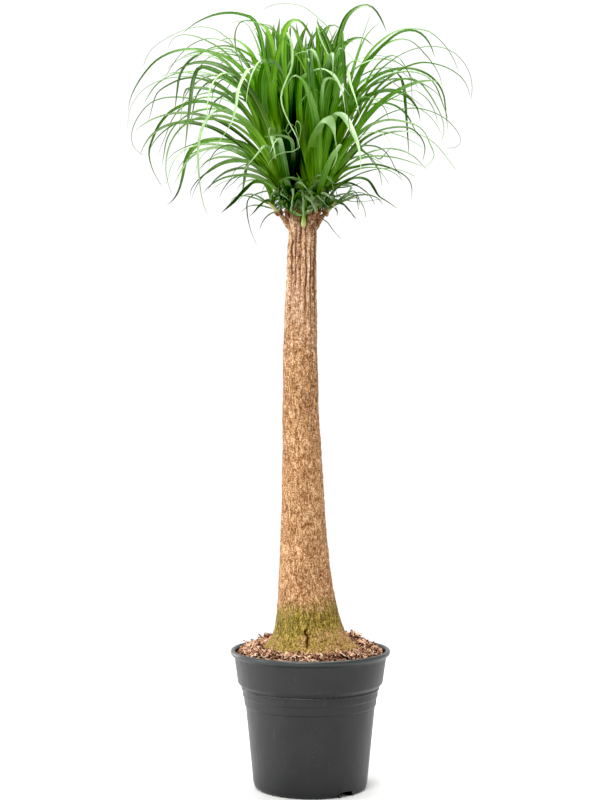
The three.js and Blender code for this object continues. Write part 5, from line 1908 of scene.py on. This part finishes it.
# The lights: where each one stands, its size, the setting that gives its power with the share of
# it, and its colour.
LIGHTS = {
    "key_light": ((-0.9, -2.6, 2.9), (1.5, 1.5), "key", 1, (1.0, 0.985, 0.96)),
    "left_light": ((-2.3, -0.6, 0.9), (0.8, 1.8), "side", 1.4, (0.97, 0.985, 1.0)),
    "rim_light": ((-1.9, 1.7, 0.6), (0.7, 1.6), "side", 1.2, (1.0, 0.99, 0.97)),
    "right_light": ((2.3, -0.5, 1.1), (0.8, 2.2), "side", 0.06, (0.97, 0.985, 1.0)),
    "top_light": ((0.1, 0.5, 3.1), (2.2, 1.8), "top", 1, (1.0, 1.0, 1.0)),
}


def add_light(name, place, size, power, colour):
    """A soft rectangular light that faces the plant."""
    data = bpy.data.lights.new(name, "AREA")
    data.shape = "RECTANGLE"
    data.size, data.size_y = size
    data.energy = power
    data.color = colour
    light = bpy.data.objects.new(name, data)
    light.location = place
    light.rotation_euler = (Vector(STAGE.aim) - Vector(place)).to_track_quat("-Z", "Y").to_euler()
    bpy.context.scene.collection.objects.link(light)


class PALM_OT_set_stage(bpy.types.Operator):
    """Sets the pale floor, the soft lights and the camera"""

    bl_idname = "palm.set_stage"
    bl_label = "Stage"

    def execute(self, context):
        settings = context.scene.palm_stage
        edge = circle(STAGE.radius / MM, 0, STAGE.sides)
        inner, below = STAGE.inner * edge, (0, 0, STAGE.thickness)
        floor = mesh_object("studio_floor", skinned([inner, edge, edge - below, inner - below]))
        floor.data.materials.append(floor_material(settings))
        world = bpy.data.worlds.new("studio_air")
        context.scene.world = world
        world.use_nodes = True
        world.node_tree.nodes.clear()
        node = partial(add_node, world.node_tree)
        # The studio is white round the horizon and dimmer overhead and below.
        way = node("TexCoord", out="Generated")
        rise = node("SeparateXYZ", {0: way}, out="Z")
        off_level = node("Math", {0: rise}, operation="ABSOLUTE")
        band = {0: off_level, 1: 0.5, 2: 0.27, 3: settings.sky, 4: settings.horizon}
        air = {"Color": (1, 1, 1, 1), "Strength": node("MapRange", band, **SMOOTH)}
        node("OutputWorld", {0: node("Background", air)})
        for name, (place, size, setting, share, colour) in LIGHTS.items():
            add_light(name, place, size, share * getattr(settings, setting), colour)
        camera = bpy.data.objects.new("studio_camera", bpy.data.cameras.new("studio_camera"))
        camera.data.sensor_width = CAMERA.sensor
        camera.data.lens = CAMERA.lens
        camera.location = CAMERA.place
        camera.rotation_euler = (math.pi / 2, 0, 0)
        context.scene.collection.objects.link(camera)
        context.scene.camera = camera
        film = context.scene.view_settings
        film.view_transform = "Standard"
        film.exposure = STAGE.exposure
        film.use_curve_mapping = True
        film.curve_mapping.black_level = (STAGE.black,) * 3
        return {"FINISHED"}


GROUPS = {
    "palm_pot": PotSettings,
    "palm_mulch": MulchSettings,
    "palm_trunk": TrunkSettings,
    "palm_leaves": LeafSettings,
    "palm_stage": StageSettings,
}
OPERATORS = (
    PALM_OT_add_pot, PALM_OT_add_soil, PALM_OT_add_mulch, PALM_OT_add_trunk,
    PALM_OT_add_leaf_heads, PALM_OT_add_shoots, PALM_OT_add_sheaths, PALM_OT_set_stage,
)


class PALM_PT_plant(bpy.types.Panel):
    """Lists the plant's settings and pieces"""

    bl_idname = "PALM_PT_plant"
    bl_label = "Ponytail palm"
    bl_space_type = "VIEW_3D"
    bl_region_type = "UI"
    bl_category = "Plant"

    def draw(self, context):
        for name, group in GROUPS.items():
            box = self.layout.box()
            for setting in group.__annotations__:
                box.prop(getattr(context.scene, name), setting)
        for operator in OPERATORS:
            self.layout.operator(operator.bl_idname)


CLASSES = (*GROUPS.values(), *OPERATORS, PALM_PT_plant)


def register():
    for one in CLASSES:
        bpy.utils.register_class(one)
    for name, group in GROUPS.items():
        setattr(bpy.types.Scene, name, bpy.props.PointerProperty(type=group))


def unregister():
    for name in GROUPS:
        delattr(bpy.types.Scene, name)
    for one in reversed(CLASSES):
        bpy.utils.unregister_class(one)


def main():
    """Builds the plant and its stage."""
    register()
    bpy.ops.palm.set_stage()
    bpy.ops.palm.add_pot()
    bpy.ops.palm.add_soil()
    bpy.ops.palm.add_mulch()
    bpy.ops.palm.add_trunk()
    bpy.ops.palm.add_leaf_heads()
    bpy.ops.palm.add_shoots()
    bpy.ops.palm.add_sheaths()


if __name__ == "__main__":
    main()
